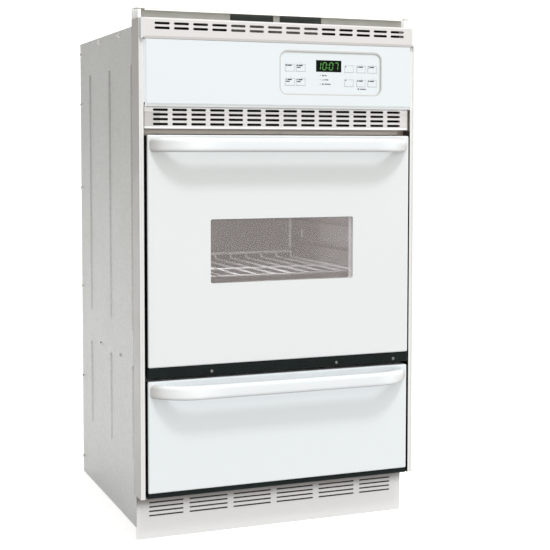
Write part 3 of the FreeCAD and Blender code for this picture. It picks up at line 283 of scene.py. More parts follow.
# Handle bars, with light and shade painted into the colour: darker at the right end and along the underside, lighter
# toward the left end, darker at the left tip.
c = BAR.ramp(BAR.noise(5.0, 3.0), [(0.3, (0.765, 0.795, 0.815, 1)), (0.7, (0.77, 0.80, 0.82, 1))])
# height from the middle of either handle, which stand 490 mm apart
mid = BAR.math("SUBTRACT", BAR.math("MODULO", BAR.math("ADD", BAR.axis("Z"), 0.178 + 0.245), 0.49), 0.245)
# painted shade on the right end, stronger on its lower half
right_end_painted_shade = BAR.math("MULTIPLY", BAR.range(BAR.axis("X"), 0.0, 1.0, 0.222, 0.283, True),
                  BAR.range(mid, 1.0, 0.30, -0.004, 0.010, True))
# painted highlight toward the left end, then painted shade on the left tip
c = BAR.mix(BAR.range(BAR.axis("X"), 1.0, 0.0, -0.24, -0.12, True), c, (0.93, 0.95, 0.96, 1))
c = BAR.mix(BAR.range(BAR.axis("X"), 1.0, 0.0, -0.284, -0.258, True), c, (0.70, 0.69, 0.675, 1))
c = BAR.mix(right_end_painted_shade, c, (0.42, 0.40, 0.385, 1))
# painted shade: a dark line along the underside
BAR.colour(BAR.mix(BAR.range(mid, 0.85, 0.0, -0.0131, -0.0096, True), c, (0.42, 0.41, 0.395, 1)))
BAR.roughness(BAR.range(BAR.noise(25.0, 3.0), 0.29, 0.33, 0.3, 0.7))
BAR.bump(BAR.noise(350.0, 2.0), 0.000003)
BAR = BAR.m

BLACK = Mat("black_trim", rough=0.36, spec=0.12)
BLACK.colour(BLACK.ramp(BLACK.noise(30.0, 4.0), [(0.3, (0.0035, 0.007, 0.0065, 1)), (0.7, (0.0055, 0.0105, 0.0095, 1))]))
BLACK.roughness(BLACK.range(BLACK.noise(180.0, 3.0), 0.3, 0.46, 0.3, 0.7))
BLACK.bump(BLACK.noise(1500.0, 2.0), 0.00002)
BLACK = BLACK.m


def galvanised(name, dark, light, rough=0.42, metallic=0.6, size=300.0, back=False):
    """Hot-dip zinc: small low-contrast spangle and soft clouding."""
    m = Mat(name, rough=rough, metal=metallic)
    cell = m.cells(size, "Color", stretch=(1, 1, 0.8))
    n = m.t.nodes.new("ShaderNodeSeparateColor")
    m.link(cell, n.inputs["Color"])
    spangle = m.ramp(n.outputs["Red"], [(0.0, dark), (1.0, light)])
    stain = m.ramp(m.noise(5.0, 5.0, 0.6), [(0.35, (1, 1, 1, 1)), (0.8, (0.93, 0.93, 0.92, 1))])
    c = m.mix(1.0, spangle, stain, "MULTIPLY")
    if back:
        # hexagon heads of the case screws, in a row down each edge
        ax = m.math("SUBTRACT", m.math("ABSOLUTE", m.axis("X")), 0.268)
        wz = m.math("SUBTRACT", m.math("PINGPONG", m.math("ADD", m.axis("Z"), 0.06), 0.1), 0.1)
        r = m.math("SQRT", m.math("ADD", m.math("MULTIPLY", ax, ax), m.math("MULTIPLY", wz, wz)))
        c = m.mix(m.math("MULTIPLY", m.range(r, 0.0, 1.0, 0.0040, 0.0043), m.range(r, 1.0, 0.0, 0.0052, 0.0056)), c,
                  (0.09, 0.09, 0.088, 1))
        c = m.mix(m.range(r, 1.0, 0.0, 0.0038, 0.0042), c, (0.52, 0.515, 0.50, 1))
    m.colour(c)
    m.roughness(m.range(n.outputs["Green"], rough * 0.85, rough * 1.15))
    m.bump(m.noise(260.0, 3.0), 0.000008)
    if back:
        m.bump(m.range(r, 1.0, 0.0, 0.0034, 0.0044), 0.0018)
        h = None
        for z in (0.2, 0.32, 0.64, 0.78):
            f = m.range(m.math("ABSOLUTE", m.math("SUBTRACT", m.axis("Z"), z)), 1.0, 0.0, 0.003, 0.0092, True)
            h = f if h is None else m.math("MAXIMUM", h, f)
        m.bump(m.math("MULTIPLY", h, m.range(m.math("ABSOLUTE", m.axis("X")), 1.0, 0.0, 0.196, 0.205, True)), 0.0024)
    return m.m


GALV = galvanised("galvanised_steel", (0.55, 0.56, 0.55, 1), (0.63, 0.64, 0.63, 1), metallic=0.4)
GALV_BACK = galvanised("galvanised_steel_back", (0.66, 0.67, 0.66, 1), (0.76, 0.77, 0.76, 1), metallic=0.45, back=True)
# Base of the case. The strip of its front return behind the toe slots is near-black brown, as painted shade seen
# through the slots.
BASE_ZINC = enamel("galvanised_base", (0.62, 0.63, 0.62, 1), rough=0.5, coat=0.0, areas=[
    ((0.045, 0.034, 0.030, 1), [("Y", 49, 50.6)])])
GALV_DUCT = galvanised("galvanised_steel_duct", (0.42, 0.44, 0.42, 1), (0.50, 0.52, 0.50, 1))
# painted light: the duct glows faintly green-grey so that its inside shows through the vent windows
GALV_DUCT.node_tree.nodes["Principled BSDF"].inputs["Emission Color"].default_value = (0.55, 0.62, 0.56, 1)
GALV_DUCT.node_tree.nodes["Principled BSDF"].inputs["Emission Strength"].default_value = 0.03

# The baffle across the vent: dull zinc. Its top hem carries a painted highlight, a light band, with a tan band above it
# as painted shade on the flange edge.
VENT = Mat("vent_baffle_zinc", rough=0.55, metal=0.25)
c = VENT.ramp(VENT.noise(7.0, 4.0, 0.6), [(0.3, (0.455, 0.46, 0.42, 1)), (0.7, (0.515, 0.515, 0.475, 1))])
c = VENT.mix(VENT.zone(("Y", 10, 21.3), ("Z", 1064, 1075)), c, (1.0, 0.97, 0.94, 1))
c = VENT.mix(VENT.zone(("Y", 10, 21.3), ("Z", 1070.2, 1075)), c, (0.42, 0.33, 0.26, 1))
VENT.colour(c)
VENT.roughness(VENT.range(VENT.noise(40.0, 3.0), 0.48, 0.62, 0.3, 0.7))
VENT.bump(VENT.noise(260.0, 3.0), 0.000008)
VENT = VENT.m

# Painted steel frame behind the face: warm grey, white on the two ears on top. Painted shade: near-black brown below
# the door opening behind the toe slots, and near-black behind the grilles' slots. Painted light: a faint warm glow in
# the gaps at the ends of the strip above the door and beside the lower grille's ends.
FRAME = Mat("front_frame_paint", rough=0.5, spec=0.3)
c = FRAME.ramp(FRAME.noise(16.0, 4.0), [(0.3, (0.42, 0.385, 0.355, 1)), (0.7, (0.46, 0.425, 0.392, 1))])
c = FRAME.mix(FRAME.zone(("Z", -10, 95)), c, (0.045, 0.034, 0.030, 1))
c = FRAME.mix(FRAME.zone(("Z", 836, 1048), ("A", -5, 291)), c, (0.010, 0.010, 0.010, 1))
FRAME.colour(FRAME.mix(FRAME.zone(("Z", 1048, 1100)), c, (0.76, 0.76, 0.75, 1)))
FRAME.roughness(FRAME.range(FRAME.noise(40.0, 3.0), 0.38, 0.55, 0.3, 0.7))
FRAME.bump(FRAME.noise(420.0, 2.0), 0.000014)
# painted light: a faint warm emission in the side gaps
FRAME.link(FRAME.math("ADD", FRAME.zone(("Z", 815, 835), ("A", 268, 305)), FRAME.zone(("Z", 835, 878), ("A", 291, 305))),
           FRAME.p.inputs["Emission Strength"])
FRAME.p.inputs["Emission Color"].default_value = (0.10, 0.080, 0.070, 1)
FRAME = FRAME.m


def porcelain(name, base, fleck, rough=0.22, share=0.62, areas=()):
    """Speckled porcelain enamel, with small pits. areas are (colour, limits) painted over it."""
    m = Mat(name, rough=rough, coat=0.4, coat_rough=0.08)
    ground = m.ramp(m.noise(12.0, 4.0), [(0.3, shade(base, 0.93)), (0.7, shade(base, 1.06))])
    dots = m.range(m.cells(900.0, "Distance"), 1.0, 0.0, 0.10, 0.20)
    some = m.range(m.noise(700.0, 1.0), 0.0, 1.0, share - 0.02, share)
    c = m.mix(m.math("MULTIPLY", dots, some), ground, fleck)
    for paint, limits in areas:
        c = m.mix(m.zone(*limits, soft=1.2), c, paint)
    m.colour(c)
    m.roughness(m.range(m.noise(30.0, 3.0), rough * 0.8, rough * 1.3, 0.3, 0.7))
    m.bump(m.noise(300.0, 2.0), 0.000015)
    return m.m


# Oven liner porcelain, with painted light: the right wall is lighter toward the front, and two light strips near the
# rear right corner are painted highlights.
PORCELAIN = porcelain("porcelain", (0.238, 0.222, 0.216, 1), (0.62, 0.60, 0.58, 1), areas=[
    ((0.335, 0.312, 0.303, 1), [("X", 226, 232), ("Y", 40, 330), ("Z", 395, 790)]),
    ((0.72, 0.70, 0.68, 1), [("X", 200, 230), ("Y", 502, 508), ("Z", 548, 640)]),
    ((0.80, 0.78, 0.76, 1), [("X", 226, 230), ("Y", 434, 444), ("Z", 572, 597)])])
PORCELAIN_DOOR = porcelain("porcelain_door", (0.235, 0.212, 0.20, 1), (0.6, 0.58, 0.56, 1), 0.25)

WOOL = Mat("glass_wool", rough=0.95, spec=0.2)
WOOL.colour(WOOL.ramp(WOOL.noise(70.0, 8.0, 0.75, (1, 1, 3), 1.5), [(0.25, (0.42, 0.33, 0.12, 1)), (0.75, (0.83, 0.73, 0.42, 1))]))
WOOL.roughness(WOOL.range(WOOL.noise(90.0, 4.0), 0.85, 1.0))
WOOL.bump(WOOL.noise(160.0, 8.0, 0.8, (1, 1, 3), 2.0), 0.002)
WOOL = WOOL.m

GASKET = Mat("woven_gasket", rough=0.85, spec=0.25)
braid = GASKET.math("MULTIPLY", GASKET.waves(150.0, "DIAGONAL"), GASKET.waves(150.0, "DIAGONAL", stretch=(1, 1, -1)))
GASKET.colour(GASKET.ramp(braid, [(0.0, (0.10, 0.095, 0.088, 1)), (0.6, (0.36, 0.345, 0.325, 1))]))
GASKET.roughness(GASKET.range(GASKET.noise(200.0, 3.0), 0.75, 0.95))
GASKET.bump(braid, 0.0006)
GASKET.bump(GASKET.noise(1200.0, 3.0), 0.0001)
GASKET = GASKET.m

BURNER = metal("burner_steel", (0.36, 0.345, 0.325, 1), 0.45, 0.00003)
CAST = Mat("cast_aluminium", rough=0.5, metal=0.8)
CAST.colour(CAST.ramp(CAST.noise(60.0, 5.0), [(0.3, (0.42, 0.42, 0.42, 1)), (0.7, (0.58, 0.58, 0.575, 1))]))
CAST.roughness(CAST.range(CAST.noise(90.0, 4.0), 0.42, 0.62))
CAST.bump(CAST.noise(700.0, 3.0), 0.00008)
CAST = CAST.m
HINGE = metal("hinge_steel", (0.50, 0.49, 0.455, 1), 0.35, 0.00002, (6, 1, 1))
CHROME = metal("rack_chrome", (0.90, 0.89, 0.88, 1), 0.2, 0.000006, (1, 0.2, 1), 0.25, 0.95)
MOTOR = metal("motor_dark", (0.035, 0.034, 0.033, 1), 0.5, 0.00002, metallic=0.3)
SCREW = metal("screw_zinc", (0.62, 0.61, 0.585, 1), 0.28, 0.00001)
# Black screw heads. The three on the door's bottom trim are a lighter grey: a lit copy of the same finish, painted
# light.
SCREW_DARK = enamel("screw_black", (0.02, 0.02, 0.021, 1), rough=0.3, coat=0.1, areas=[((0.20, 0.20, 0.19, 1), [("Z", 300, 400)])])
SILL = enamel("window_frame_enamel", (0.84, 0.82, 0.81, 1), rough=0.4, coat=0.1)
BRASS = metal("brass_fitting", (0.63, 0.47, 0.22, 1), 0.3, 0.00001)


def glass(name, tint, alpha, rough):
    m = Mat(name, rough=rough, spec=0.5, ior=1.5)
    m.colour(m.ramp(m.noise(6.0, 3.0), [(0.3, shade(tint, 0.97)), (0.7, shade(tint, 1.03))]))
    m.roughness(m.range(m.noise(40.0, 4.0), rough * 0.8, rough * 1.25, 0.3, 0.7))
    m.bump(m.noise(5.0, 2.0), 0.00002)
    m.p.inputs["Alpha"].default_value = alpha
    m.m.surface_render_method = "BLENDED" if hasattr(m.m, "surface_render_method") else None
    return m.m


GLASS_OUT = glass("window_glass", (0.30, 0.262, 0.25, 1), 0.42, 0.05)
GLASS_IN = glass("window_glass_inner", (0.30, 0.28, 0.27, 1), 0.12, 0.05)

FILM = Mat("keypad_film", rough=0.42, spec=0.4)
FILM.colour(FILM.ramp(FILM.noise(4.0, 3.0), [(0.3, (0.735, 0.775, 0.795, 1)), (0.7, (0.75, 0.79, 0.81, 1))]))
FILM.roughness(FILM.range(FILM.noise(300.0, 2.0), 0.38, 0.48))
FILM.bump(FILM.noise(1400.0, 2.0), 0.000006)
FILM = FILM.m
CAP = Mat("key_cap", rough=0.42, spec=0.4)
CAP.colour(CAP.ramp(CAP.noise(8.0, 3.0), [(0.3, (0.735, 0.775, 0.795, 1)), (0.7, (0.75, 0.79, 0.81, 1))]))
CAP.roughness(CAP.range(CAP.noise(300.0, 2.0), 0.38, 0.5))
CAP.bump(CAP.noise(1300.0, 2.0), 0.000008)
CAP = CAP.m


def ink(name, c, rough=0.55):
    m = Mat(name, rough=rough, spec=0.3)
    m.colour(m.ramp(m.noise(900.0, 3.0), [(0.3, shade(c, 0.9)), (0.7, shade(c, 1.12))]))
    m.roughness(m.range(m.noise(500.0, 2.0), rough * 0.9, rough * 1.1))
    return m.m


INK = ink("print_dark", (0.02, 0.02, 0.022, 1))
INK_GREY = ink("print_grey", (0.33, 0.345, 0.355, 1))
INK_LINE = ink("print_line", (0.36, 0.375, 0.385, 1))

DISPLAY = Mat("display_black", rough=0.2, spec=0.08)
DISPLAY.colour(DISPLAY.ramp(DISPLAY.noise(50.0, 3.0), [(0.3, (0.002, 0.004, 0.0015, 1)), (0.7, (0.003, 0.0055, 0.002, 1))]))
DISPLAY.roughness(DISPLAY.range(DISPLAY.noise(80.0, 3.0), 0.17, 0.24))
DISPLAY = DISPLAY.m

GLOW = Mat("display_green", rough=0.5)
GLOW.colour(GLOW.ramp(GLOW.noise(300.0, 2.0), [(0.3, (0.04, 0.17, 0.03, 1)), (0.7, (0.05, 0.2, 0.04, 1))]))
GLOW.p.inputs["Emission Color"].default_value = (0.16, 0.60, 0.10, 1)
GLOW.p.inputs["Emission Strength"].default_value = 0.36
GLOW = GLOW.m

LED = Mat("led_lens", rough=0.25, coat=0.4)
LED.colour(LED.ramp(LED.noise(500.0, 2.0), [(0.3, (0.34, 0.30, 0.28, 1)), (0.7, (0.44, 0.39, 0.36, 1))]))
LED.roughness(LED.range(LED.noise(300.0, 2.0), 0.2, 0.3))
LED = LED.m

BOARD = Mat("circuit_board", rough=0.4)
BOARD.colour(BOARD.mix(BOARD.range(BOARD.cells(260.0, "Distance", stretch=(1, 1, 1)), 0.0, 1.0, 0.42, 0.5),
                       (0.012, 0.10, 0.03, 1), (0.03, 0.17, 0.055, 1)))
BOARD.roughness(BOARD.range(BOARD.noise(60.0, 3.0), 0.3, 0.5))
BOARD.bump(BOARD.cells(260.0, "Distance"), 0.00005)
BOARD = BOARD.m

LAMP = Mat("lamp_glass", rough=0.08, ior=1.5, coat=0.5)
LAMP.colour(LAMP.ramp(LAMP.noise(20.0, 3.0), [(0.3, (0.70, 0.69, 0.66, 1)), (0.7, (0.78, 0.77, 0.74, 1))]))
LAMP.roughness(LAMP.range(LAMP.noise(50.0, 3.0), 0.05, 0.12))
LAMP.bump(LAMP.waves(60.0, "Z"), 0.0003)
LAMP = LAMP.m
# near-black for the burner ports: painted shade standing for holes
DARK = ink("dark_hole", (0.01, 0.0095, 0.009, 1), 0.8)

LOOK = {
    "white_enamel": WHITE, "white_bar": BAR, "black_trim": BLACK, "galvanised_steel": GALV, "porcelain": PORCELAIN,
    "glass_wool": WOOL, "woven_gasket": GASKET, "burner_steel": BURNER, "cast_aluminium": CAST,
    "window_glass": GLASS_OUT, "keypad_film": FILM, "key_cap": CAP, "display_black": DISPLAY, "led_lens": LED,
    "circuit_board": BOARD, "hinge_steel": HINGE, "rack_chrome": CHROME,
}
SPECIAL = {
    "door_outer_panel": DOOR_WHITE, "drawer_front": DOOR_WHITE, "control_panel": PANEL_WHITE,
    "side_trim_left": TRIM_WHITE, "side_trim_right": TRIM_WHITE, "top_grille": GRILLE_WHITE,
    "lower_grille": LOW_GRILLE, "toe_panel": TOE_WHITE, "front_frame": FRAME, "vent_front_baffle": VENT,
    "door_window_inner": GLASS_IN, "door_inner_liner": PORCELAIN_DOOR, "door_window_frame": SILL,
    "latch_motor": MOTOR, "chassis_back": GALV_BACK, "chassis_base": BASE_ZINC, "vent_duct": GALV_DUCT,
}
for name, o in NODES.items():
    old = o.data.materials[0].name.split(".")[0] if o.data.materials else ""
    m = SPECIAL.get(name) or LOOK.get(old) or WHITE
    o.data.materials.clear()
    o.data.materials.append(m)


# ------------------------------------------------------------------ mesh tools
class Build:
    """Collects closed shells for one piece. Points are in metres."""

    def __init__(self):
        self.v, self.f, self.k = [], [], []

    def add(self, verts, faces, slot=0):
        base = len(self.v)
        self.v += [Vector(p) for p in verts]
        self.f += [tuple(base + i for i in q) for q in faces]
        self.k += [slot] * len(faces)

    def loft(self, rings, loop=False, slot=0):
        """Rings of equal length joined in order. Capped unless it closes on itself."""
        n, verts, faces = len(rings[0]), [], []
        for r in rings:
            verts += r
        pairs = len(rings) if loop else len(rings) - 1
        for i in range(pairs):
            a, b = i * n, ((i + 1) % len(rings)) * n
            for j in range(n):
                faces.append((a + j, a + (j + 1) % n, b + (j + 1) % n, b + j))
        if not loop:
            faces.append(tuple(range(n - 1, -1, -1)))
            faces.append(tuple((len(rings) - 1) * n + j for j in range(n)))
        self.add(verts, faces, slot)

    def sweep(self, path, section, up, loop=False, slot=0):
        """A section (across, along up) carried along a path that stays at right angles to up."""
        rings, n = [], len(path)
        for i, p in enumerate(path):
            a = path[(i - 1) % n] if (loop or i > 0) else p
            b = path[(i + 1) % n] if (loop or i < n - 1) else p
            t = (b - a).normalized()
            side = t.cross(up).normalized()
            rings.append([p + side * u + up * w for u, w in section])
        self.loft(rings, loop, slot)

    def tube(self, path, r, seg=12, loop=False, slot=0, ends=True):
        """A round wire. Its open ends are domed."""
        n = len(path)
        tang = []
        for i, p in enumerate(path):
            a = path[(i - 1) % n] if (loop or i > 0) else p
            b = path[(i + 1) % n] if (loop or i < n - 1) else p
            tang.append((b - a).normalized())
        ref = Vector((0, 0, 1)) if abs(tang[0].z) < 0.9 else Vector((1, 0, 0))
        u = (ref - tang[0] * ref.dot(tang[0])).normalized()
        rings = []

        def ring(p, t, u, rr):
            w = t.cross(u)
            return [p + (u * math.cos(2 * math.pi * k / seg) + w * math.sin(2 * math.pi * k / seg)) * rr
                    for k in range(seg)]
        frames = []
        for i, p in enumerate(path):
            u = (u - tang[i] * u.dot(tang[i])).normalized()
            frames.append((p, tang[i], u))
        if ends and not loop:
            p, t, q = frames[0]
            for a in (80, 55, 28):
                rings.append(ring(p - t * r * math.sin(math.radians(a)), t, q, r * math.cos(math.radians(a))))
        rings += [ring(p, t, q, r) for p, t, q in frames]
        if ends and not loop:
            p, t, q = frames[-1]
            for a in (28, 55, 80):
                rings.append(ring(p + t * r * math.sin(math.radians(a)), t, q, r * math.cos(math.radians(a))))
        self.loft(rings, loop, slot)

    def lathe(self, profile, centre, axis, seg=24, slot=0, turn=0.0):
        """A solid of revolution. profile is (radius, height along axis), from one end to the other."""
        axis = Vector(axis).normalized()
        ref = Vector((0, 0, 1)) if abs(axis.z) < 0.9 else Vector((1, 0, 0))
        u = (ref - axis * ref.dot(axis)).normalized()
        w = axis.cross(u)
        rings = []
        for r, h in profile:
            rr = max(r, 1e-6)
            rings.append([centre + axis * h + (u * math.cos(turn + 2 * math.pi * k / seg) +
                                               w * math.sin(turn + 2 * math.pi * k / seg)) * rr
                          for k in range(seg)])
        self.loft(rings, False, slot)

    def plate(self, outline, front, back, slot=0):
        """An outline of (x, z) in mm facing the front, from y=front to y=back in mm."""
        self.loft([[at(x, front, z) for x, z in outline], [at(x, back, z) for x, z in outline]], False, slot)

    def box(self, x0, x1, y0, y1, z0, z1, bevel=0.0, slot=0):
        """A box in mm with chamfered edges all round."""
        b = bevel
        rings = []
        for y, inset in ((y0, b), (y0 + b, 0), (y1 - b, 0), (y1, b)) if b else ((y0, 0), (y1, 0)):
            c = b
            pts = ([(x0 + inset + c, z0 + inset), (x1 - inset - c, z0 + inset), (x1 - inset, z0 + inset + c),
                    (x1 - inset, z1 - inset - c), (x1 - inset - c, z1 - inset), (x0 + inset + c, z1 - inset),
                    (x0 + inset, z1 - inset - c), (x0 + inset, z0 + inset + c)] if b else
                   [(x0, z0), (x1, z0), (x1, z1), (x0, z1)])
            rings.append([at(px, y, pz) for px, pz in pts])
        self.loft(rings, False, slot)

    def done(self, name, mats, body, sharp=35.0, weld=False):
        me = bpy.data.meshes.new(name)
        me.from_pydata([tuple(p) for p in self.v], [], self.f)
        mats = mats if isinstance(mats, (list, tuple)) else [mats]
        for m in mats:
            me.materials.append(m)
        for p, k in zip(me.polygons, self.k):
            p.material_index = k
        bm = bmesh.new()
        bm.from_mesh(me)
        if weld:
            bmesh.ops.remove_doubles(bm, verts=bm.verts, dist=1e-7)
        bmesh.ops.recalc_face_normals(bm, faces=bm.faces)
        limit = math.radians(sharp)
        for f in bm.faces:
            f.smooth = True
        for e in bm.edges:
            if len(e.link_faces) == 2 and e.calc_face_angle(0.0) > limit:
                e.smooth = False
        bm.to_mesh(me)
        bm.free()
        me.update()
        o = bpy.data.objects.new(name, me)
        scene.collection.objects.link(o)
        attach(o, body)
        return o


def rounded(x0, x1, z0, z1, r, n=6):
    """A rectangle with round corners, counter-clockwise, as (x, z)."""
    pts = []
    for cx, cz, a in ((x1 - r, z0 + r, -90), (x1 - r, z1 - r, 0), (x0 + r, z1 - r, 90), (x0 + r, z0 + r, 180)):
        for k in range(n + 1):
            t = math.radians(a + 90.0 * k / n)
            pts.append((cx + r * math.cos(t), cz + r * math.sin(t)))
    return pts


def bent(points, r, n=8):
    """A path through the points, in mm, with its corners rounded to r. Points are in metres after at()."""
    pts = [Vector(p) for p in points]
    out = [pts[0]]
    for a, b, c in zip(pts, pts[1:], pts[2:]):
        u, w = (a - b).normalized(), (c - b).normalized()
        half = u.angle(w) / 2
        d = r / math.tan(half)
        centre = b + (u + w).normalized() * (r / math.sin(half))
        p, q = b + u * d - centre, b + w * d - centre
        for k in range(n + 1):
            out.append(centre + p.normalized().slerp(q.normalized(), k / n) * r)
    out.append(pts[-1])
    return out


def spread(path, step):
    """More points on long straight runs, so that shading and poses stay even."""
    out = [path[0]]
    for a, b in zip(path, path[1:]):
        n = max(1, int((b - a).length / step))
        out += [a.lerp(b, (k + 1) / n) for k in range(n)]
    return out


# ------------------------------------------------------------------ handles
def handle(name, body, face, z, node):
    """A moulded bar of rounded section. Both ends sweep back in a wide arc and stand flat on the enamel."""
    out, flat, bend, reach = face - 42.0, 192.0, 100.0, 42.0
    section = rounded(-8.5, 8.5, -14.25, 14.25, 8.3, 10)
    rings = []

    def fan(side, t):
        ring = []
        for u, w in section:
            th = t * math.acos((bend - reach) / (bend + u))
            ring.append(at(side * (flat + (bend + u) * math.sin(th)), out + bend - (bend + u) * math.cos(th), z + w))
        return ring

    n = 26
    for k in range(n, -1, -1):
        rings.append(fan(-1, k / n))
    for k in range(1, 13):
        x = -flat + 2 * flat * k / 13
        rings.append([at(x, out - u, z + w) for u, w in section])
    for k in range(n + 1):
        rings.append(fan(1, k / n))
    b = Build()
    b.loft(rings)
    o = b.done(name, BAR, body, 60)
    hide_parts(node)
    return o


handle("door_handle_bar", "door", -6, 802, "door_handle")
handle("drawer_handle_bar", "drawer", -3, 312, "drawer_handle")

# ------------------------------------------------------------------ rack
R, W = 3.2, 2.5
b = Build()
front = spread(bent([at(-220, 490, 526), at(-220, 90, 526), at(220, 90, 526), at(220, 490, 526)], 0.012, 8), 0.05)
b.tube(front, R / 1000, 16)
b.tube(bent([at(-220, 486, 526), at(-220, 490, 526 + 1), at(-220, 490, 539), at(-217, 490, 539)], 0.0008, 4), R / 1000, 12)
b.tube([at(-220, 490, 539), at(0, 490, 539), at(220, 490, 539)], R / 1000, 16)
for s in (-1, 1):
    b.tube(bent([at(s * 220, 480, 526), at(s * 220, 490, 526), at(s * 220, 490, 539)], 0.004, 6), R / 1000, 12)
b.tube([at(-220, 255, 525.3), at(0, 255, 525.3), at(220, 255, 525.3)], W / 1000, 12)
for k in range(-5, 5):
    x = 40 * (k + 0.5)
    b.tube(spread(bent([at(x, 90, 527.2), at(x, 490, 527.2), at(x, 490, 538.5)], 0.006, 6), 0.05), W / 1000, 12)
rack = b.done("oven_rack_wires", CHROME, "rack", 60)
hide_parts("oven_rack")


# ------------------------------------------------------------------ oven liner
def cavity_ring(inset, y, r):
    r = max(r, 0.6)
    return [at(x, y, z) for x, z in rounded(-228 + inset, 228 - inset, 383.8 + inset, 769.2 - inset, r, 8)]


b = Build()
rings = []
for y, grow, r in ((50, 17.5, 24), (48.8, 17.5, 24), (48.8, -3.0 + 3, 25)):
    rings.append([at(x, y, z) for x, z in rounded(-228 - grow, 228 + grow, 383.8 - grow, 769.2 + grow, r, 8)])
rings[2] = [at(x, 48.8, z) for x, z in rounded(-230, 230, 381.8, 771.2, 26, 8)]
for a in (30, 60, 90):
    t = math.radians(a)
    g = 2 * (1 - math.sin(t))
    rings.append([at(x, 48.8 + 2 * (1 - math.cos(t)), z) for x, z in
                  rounded(-228 - g, 228 + g, 383.8 - g, 769.2 + g, 24 + g, 8)])
rings += [cavity_ring(0, y, 24) for y in (120, 260, 400, 493)]
for a in (15, 30, 45, 60, 75, 90):
    t = math.radians(a)
    d = 22 * (1 - math.cos(t))
    rings.append(cavity_ring(d, 493 + 22 * math.sin(t), 24 - d))
rings.append(cavity_ring(60, 515, 10))
outer = [cavity_ring(60, 516.2, 10)]
for a in (90, 60, 30, 0):
    t = math.radians(a)
    d = 23.2 * (1 - math.cos(t)) - 1.2
    outer.append(cavity_ring(d, 493 + 23.2 * math.sin(t), max(1.0, 24 - d)))
outer.append(cavity_ring(-1.2, 60, 25.2))
outer.append([at(x, 50, z) for x, z in rounded(-231, 231, 380.8, 772.2, 27, 8)])
b.loft(outer + rings)
# Rack runners pressed into both sides: rounded beads with domed ends.
for s in (-1, 1):
    for k in range(5):
        top = 467.6 + 55 * k
        path = spread([at(s * 226.6, 70 + 5, top - 5.2), at(s * 226.6, 505 - 30, top - 5.2)], 0.05)
        rings = []
        for i, p in enumerate(path):
            rings.append([p + Vector((-s * u / 1000, 0, w / 1000)) for u, w in
                          [(-1.0, -9.5), (2.0, -8.6), (5.6, -5.6), (8.4, -1.6), (9.4, 1.6), (9.4, 4.2), (8.6, 5.1),
                           (4.0, 5.2), (-1.0, 5.2)]])
        first = [p + Vector((0, -0.005, 0)) for p in rings[0]]
        mid = rings[0][0].lerp(rings[0][-1], 0.5)
        last_mid = rings[-1][0].lerp(rings[-1][-1], 0.5)
        cap0 = [(q - mid) * 0.35 + mid + Vector((0, -0.005, 0)) for q in rings[0]]
        cap1 = [(q - last_mid) * 0.35 + last_mid + Vector((0, 0.006, 0)) for q in rings[-1]]
        b.loft([cap0] + rings + [cap1])
liner = b.done("oven_liner_shell", PORCELAIN, "chassis", 50)
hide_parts("oven_liner")

# ------------------------------------------------------------------ oven lamp
b = Build()
b.lathe([(0.0, 0.0069), (0.008, 0.0065), (0.015, 0.0050), (0.0195, 0.0025), (0.021, 0.0), (0.021, -0.012), (0.0, -0.012)],
        at(165, 515, 700), (0, -1, 0), 40, 0)
b.lathe([(0.0205, 0.0015), (0.0215, 0.0042), (0.0245, 0.0048), (0.0265, 0.0030), (0.0268, -0.001), (0.0205, -0.001)],
        at(165, 515, 700), (0, -1, 0), 40, 1)
b.lathe([(0.0, 0.0), (0.022, 0.0), (0.0225, -0.004), (0.0225, -0.03), (0.018, -0.0335), (0.0, -0.0335)],
        at(165, 515, 700), (0, -1, 0), 32, 1)
lamp = b.done("oven_lamp_lens", [LAMP, BURNER], "chassis", 35)
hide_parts("oven_lamp")

# ------------------------------------------------------------------ gasket
b = Build()
pts = rounded(-239, 239, 378, 775, 12, 10)
path = [at(x, 46.4, z) for x, z in pts]
path = spread(path + [path[0]], 0.012)[:-1]
section = [(3.7 * math.cos(2 * math.pi * k / 14) / 1000, 2.3 * math.sin(2 * math.pi * k / 14) / 1000) for k in range(14)]
b.sweep(path, section, Vector((0, 1, 0)), loop=True)
gasket = b.done("door_gasket_braid", GASKET, "door", 60)
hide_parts("door_gasket")
b = Build()
for x, z in [(-239, 480), (-239, 600), (-239, 700), (239, 480), (239, 600), (239, 700)] + \
            [(x, 378) for x in (-150, 0, 150)] + [(x, 775) for x in (-150, 0, 150)]:
    side = 6.2 if x < 0 else -6.2
    b.lathe([(0.0, 0.0012), (0.0014, 0.0011), (0.0022, 0.0), (0.0022, -0.0006), (0.0, -0.0006)],
            at(x + (side if abs(x) > 230 else 0), 44, z + (0 if abs(x) > 230 else (6.2 if z < 500 else -6.2))), (0, 1, 0), 12)
b.done("gasket_clips", SCREW, "door", 35)


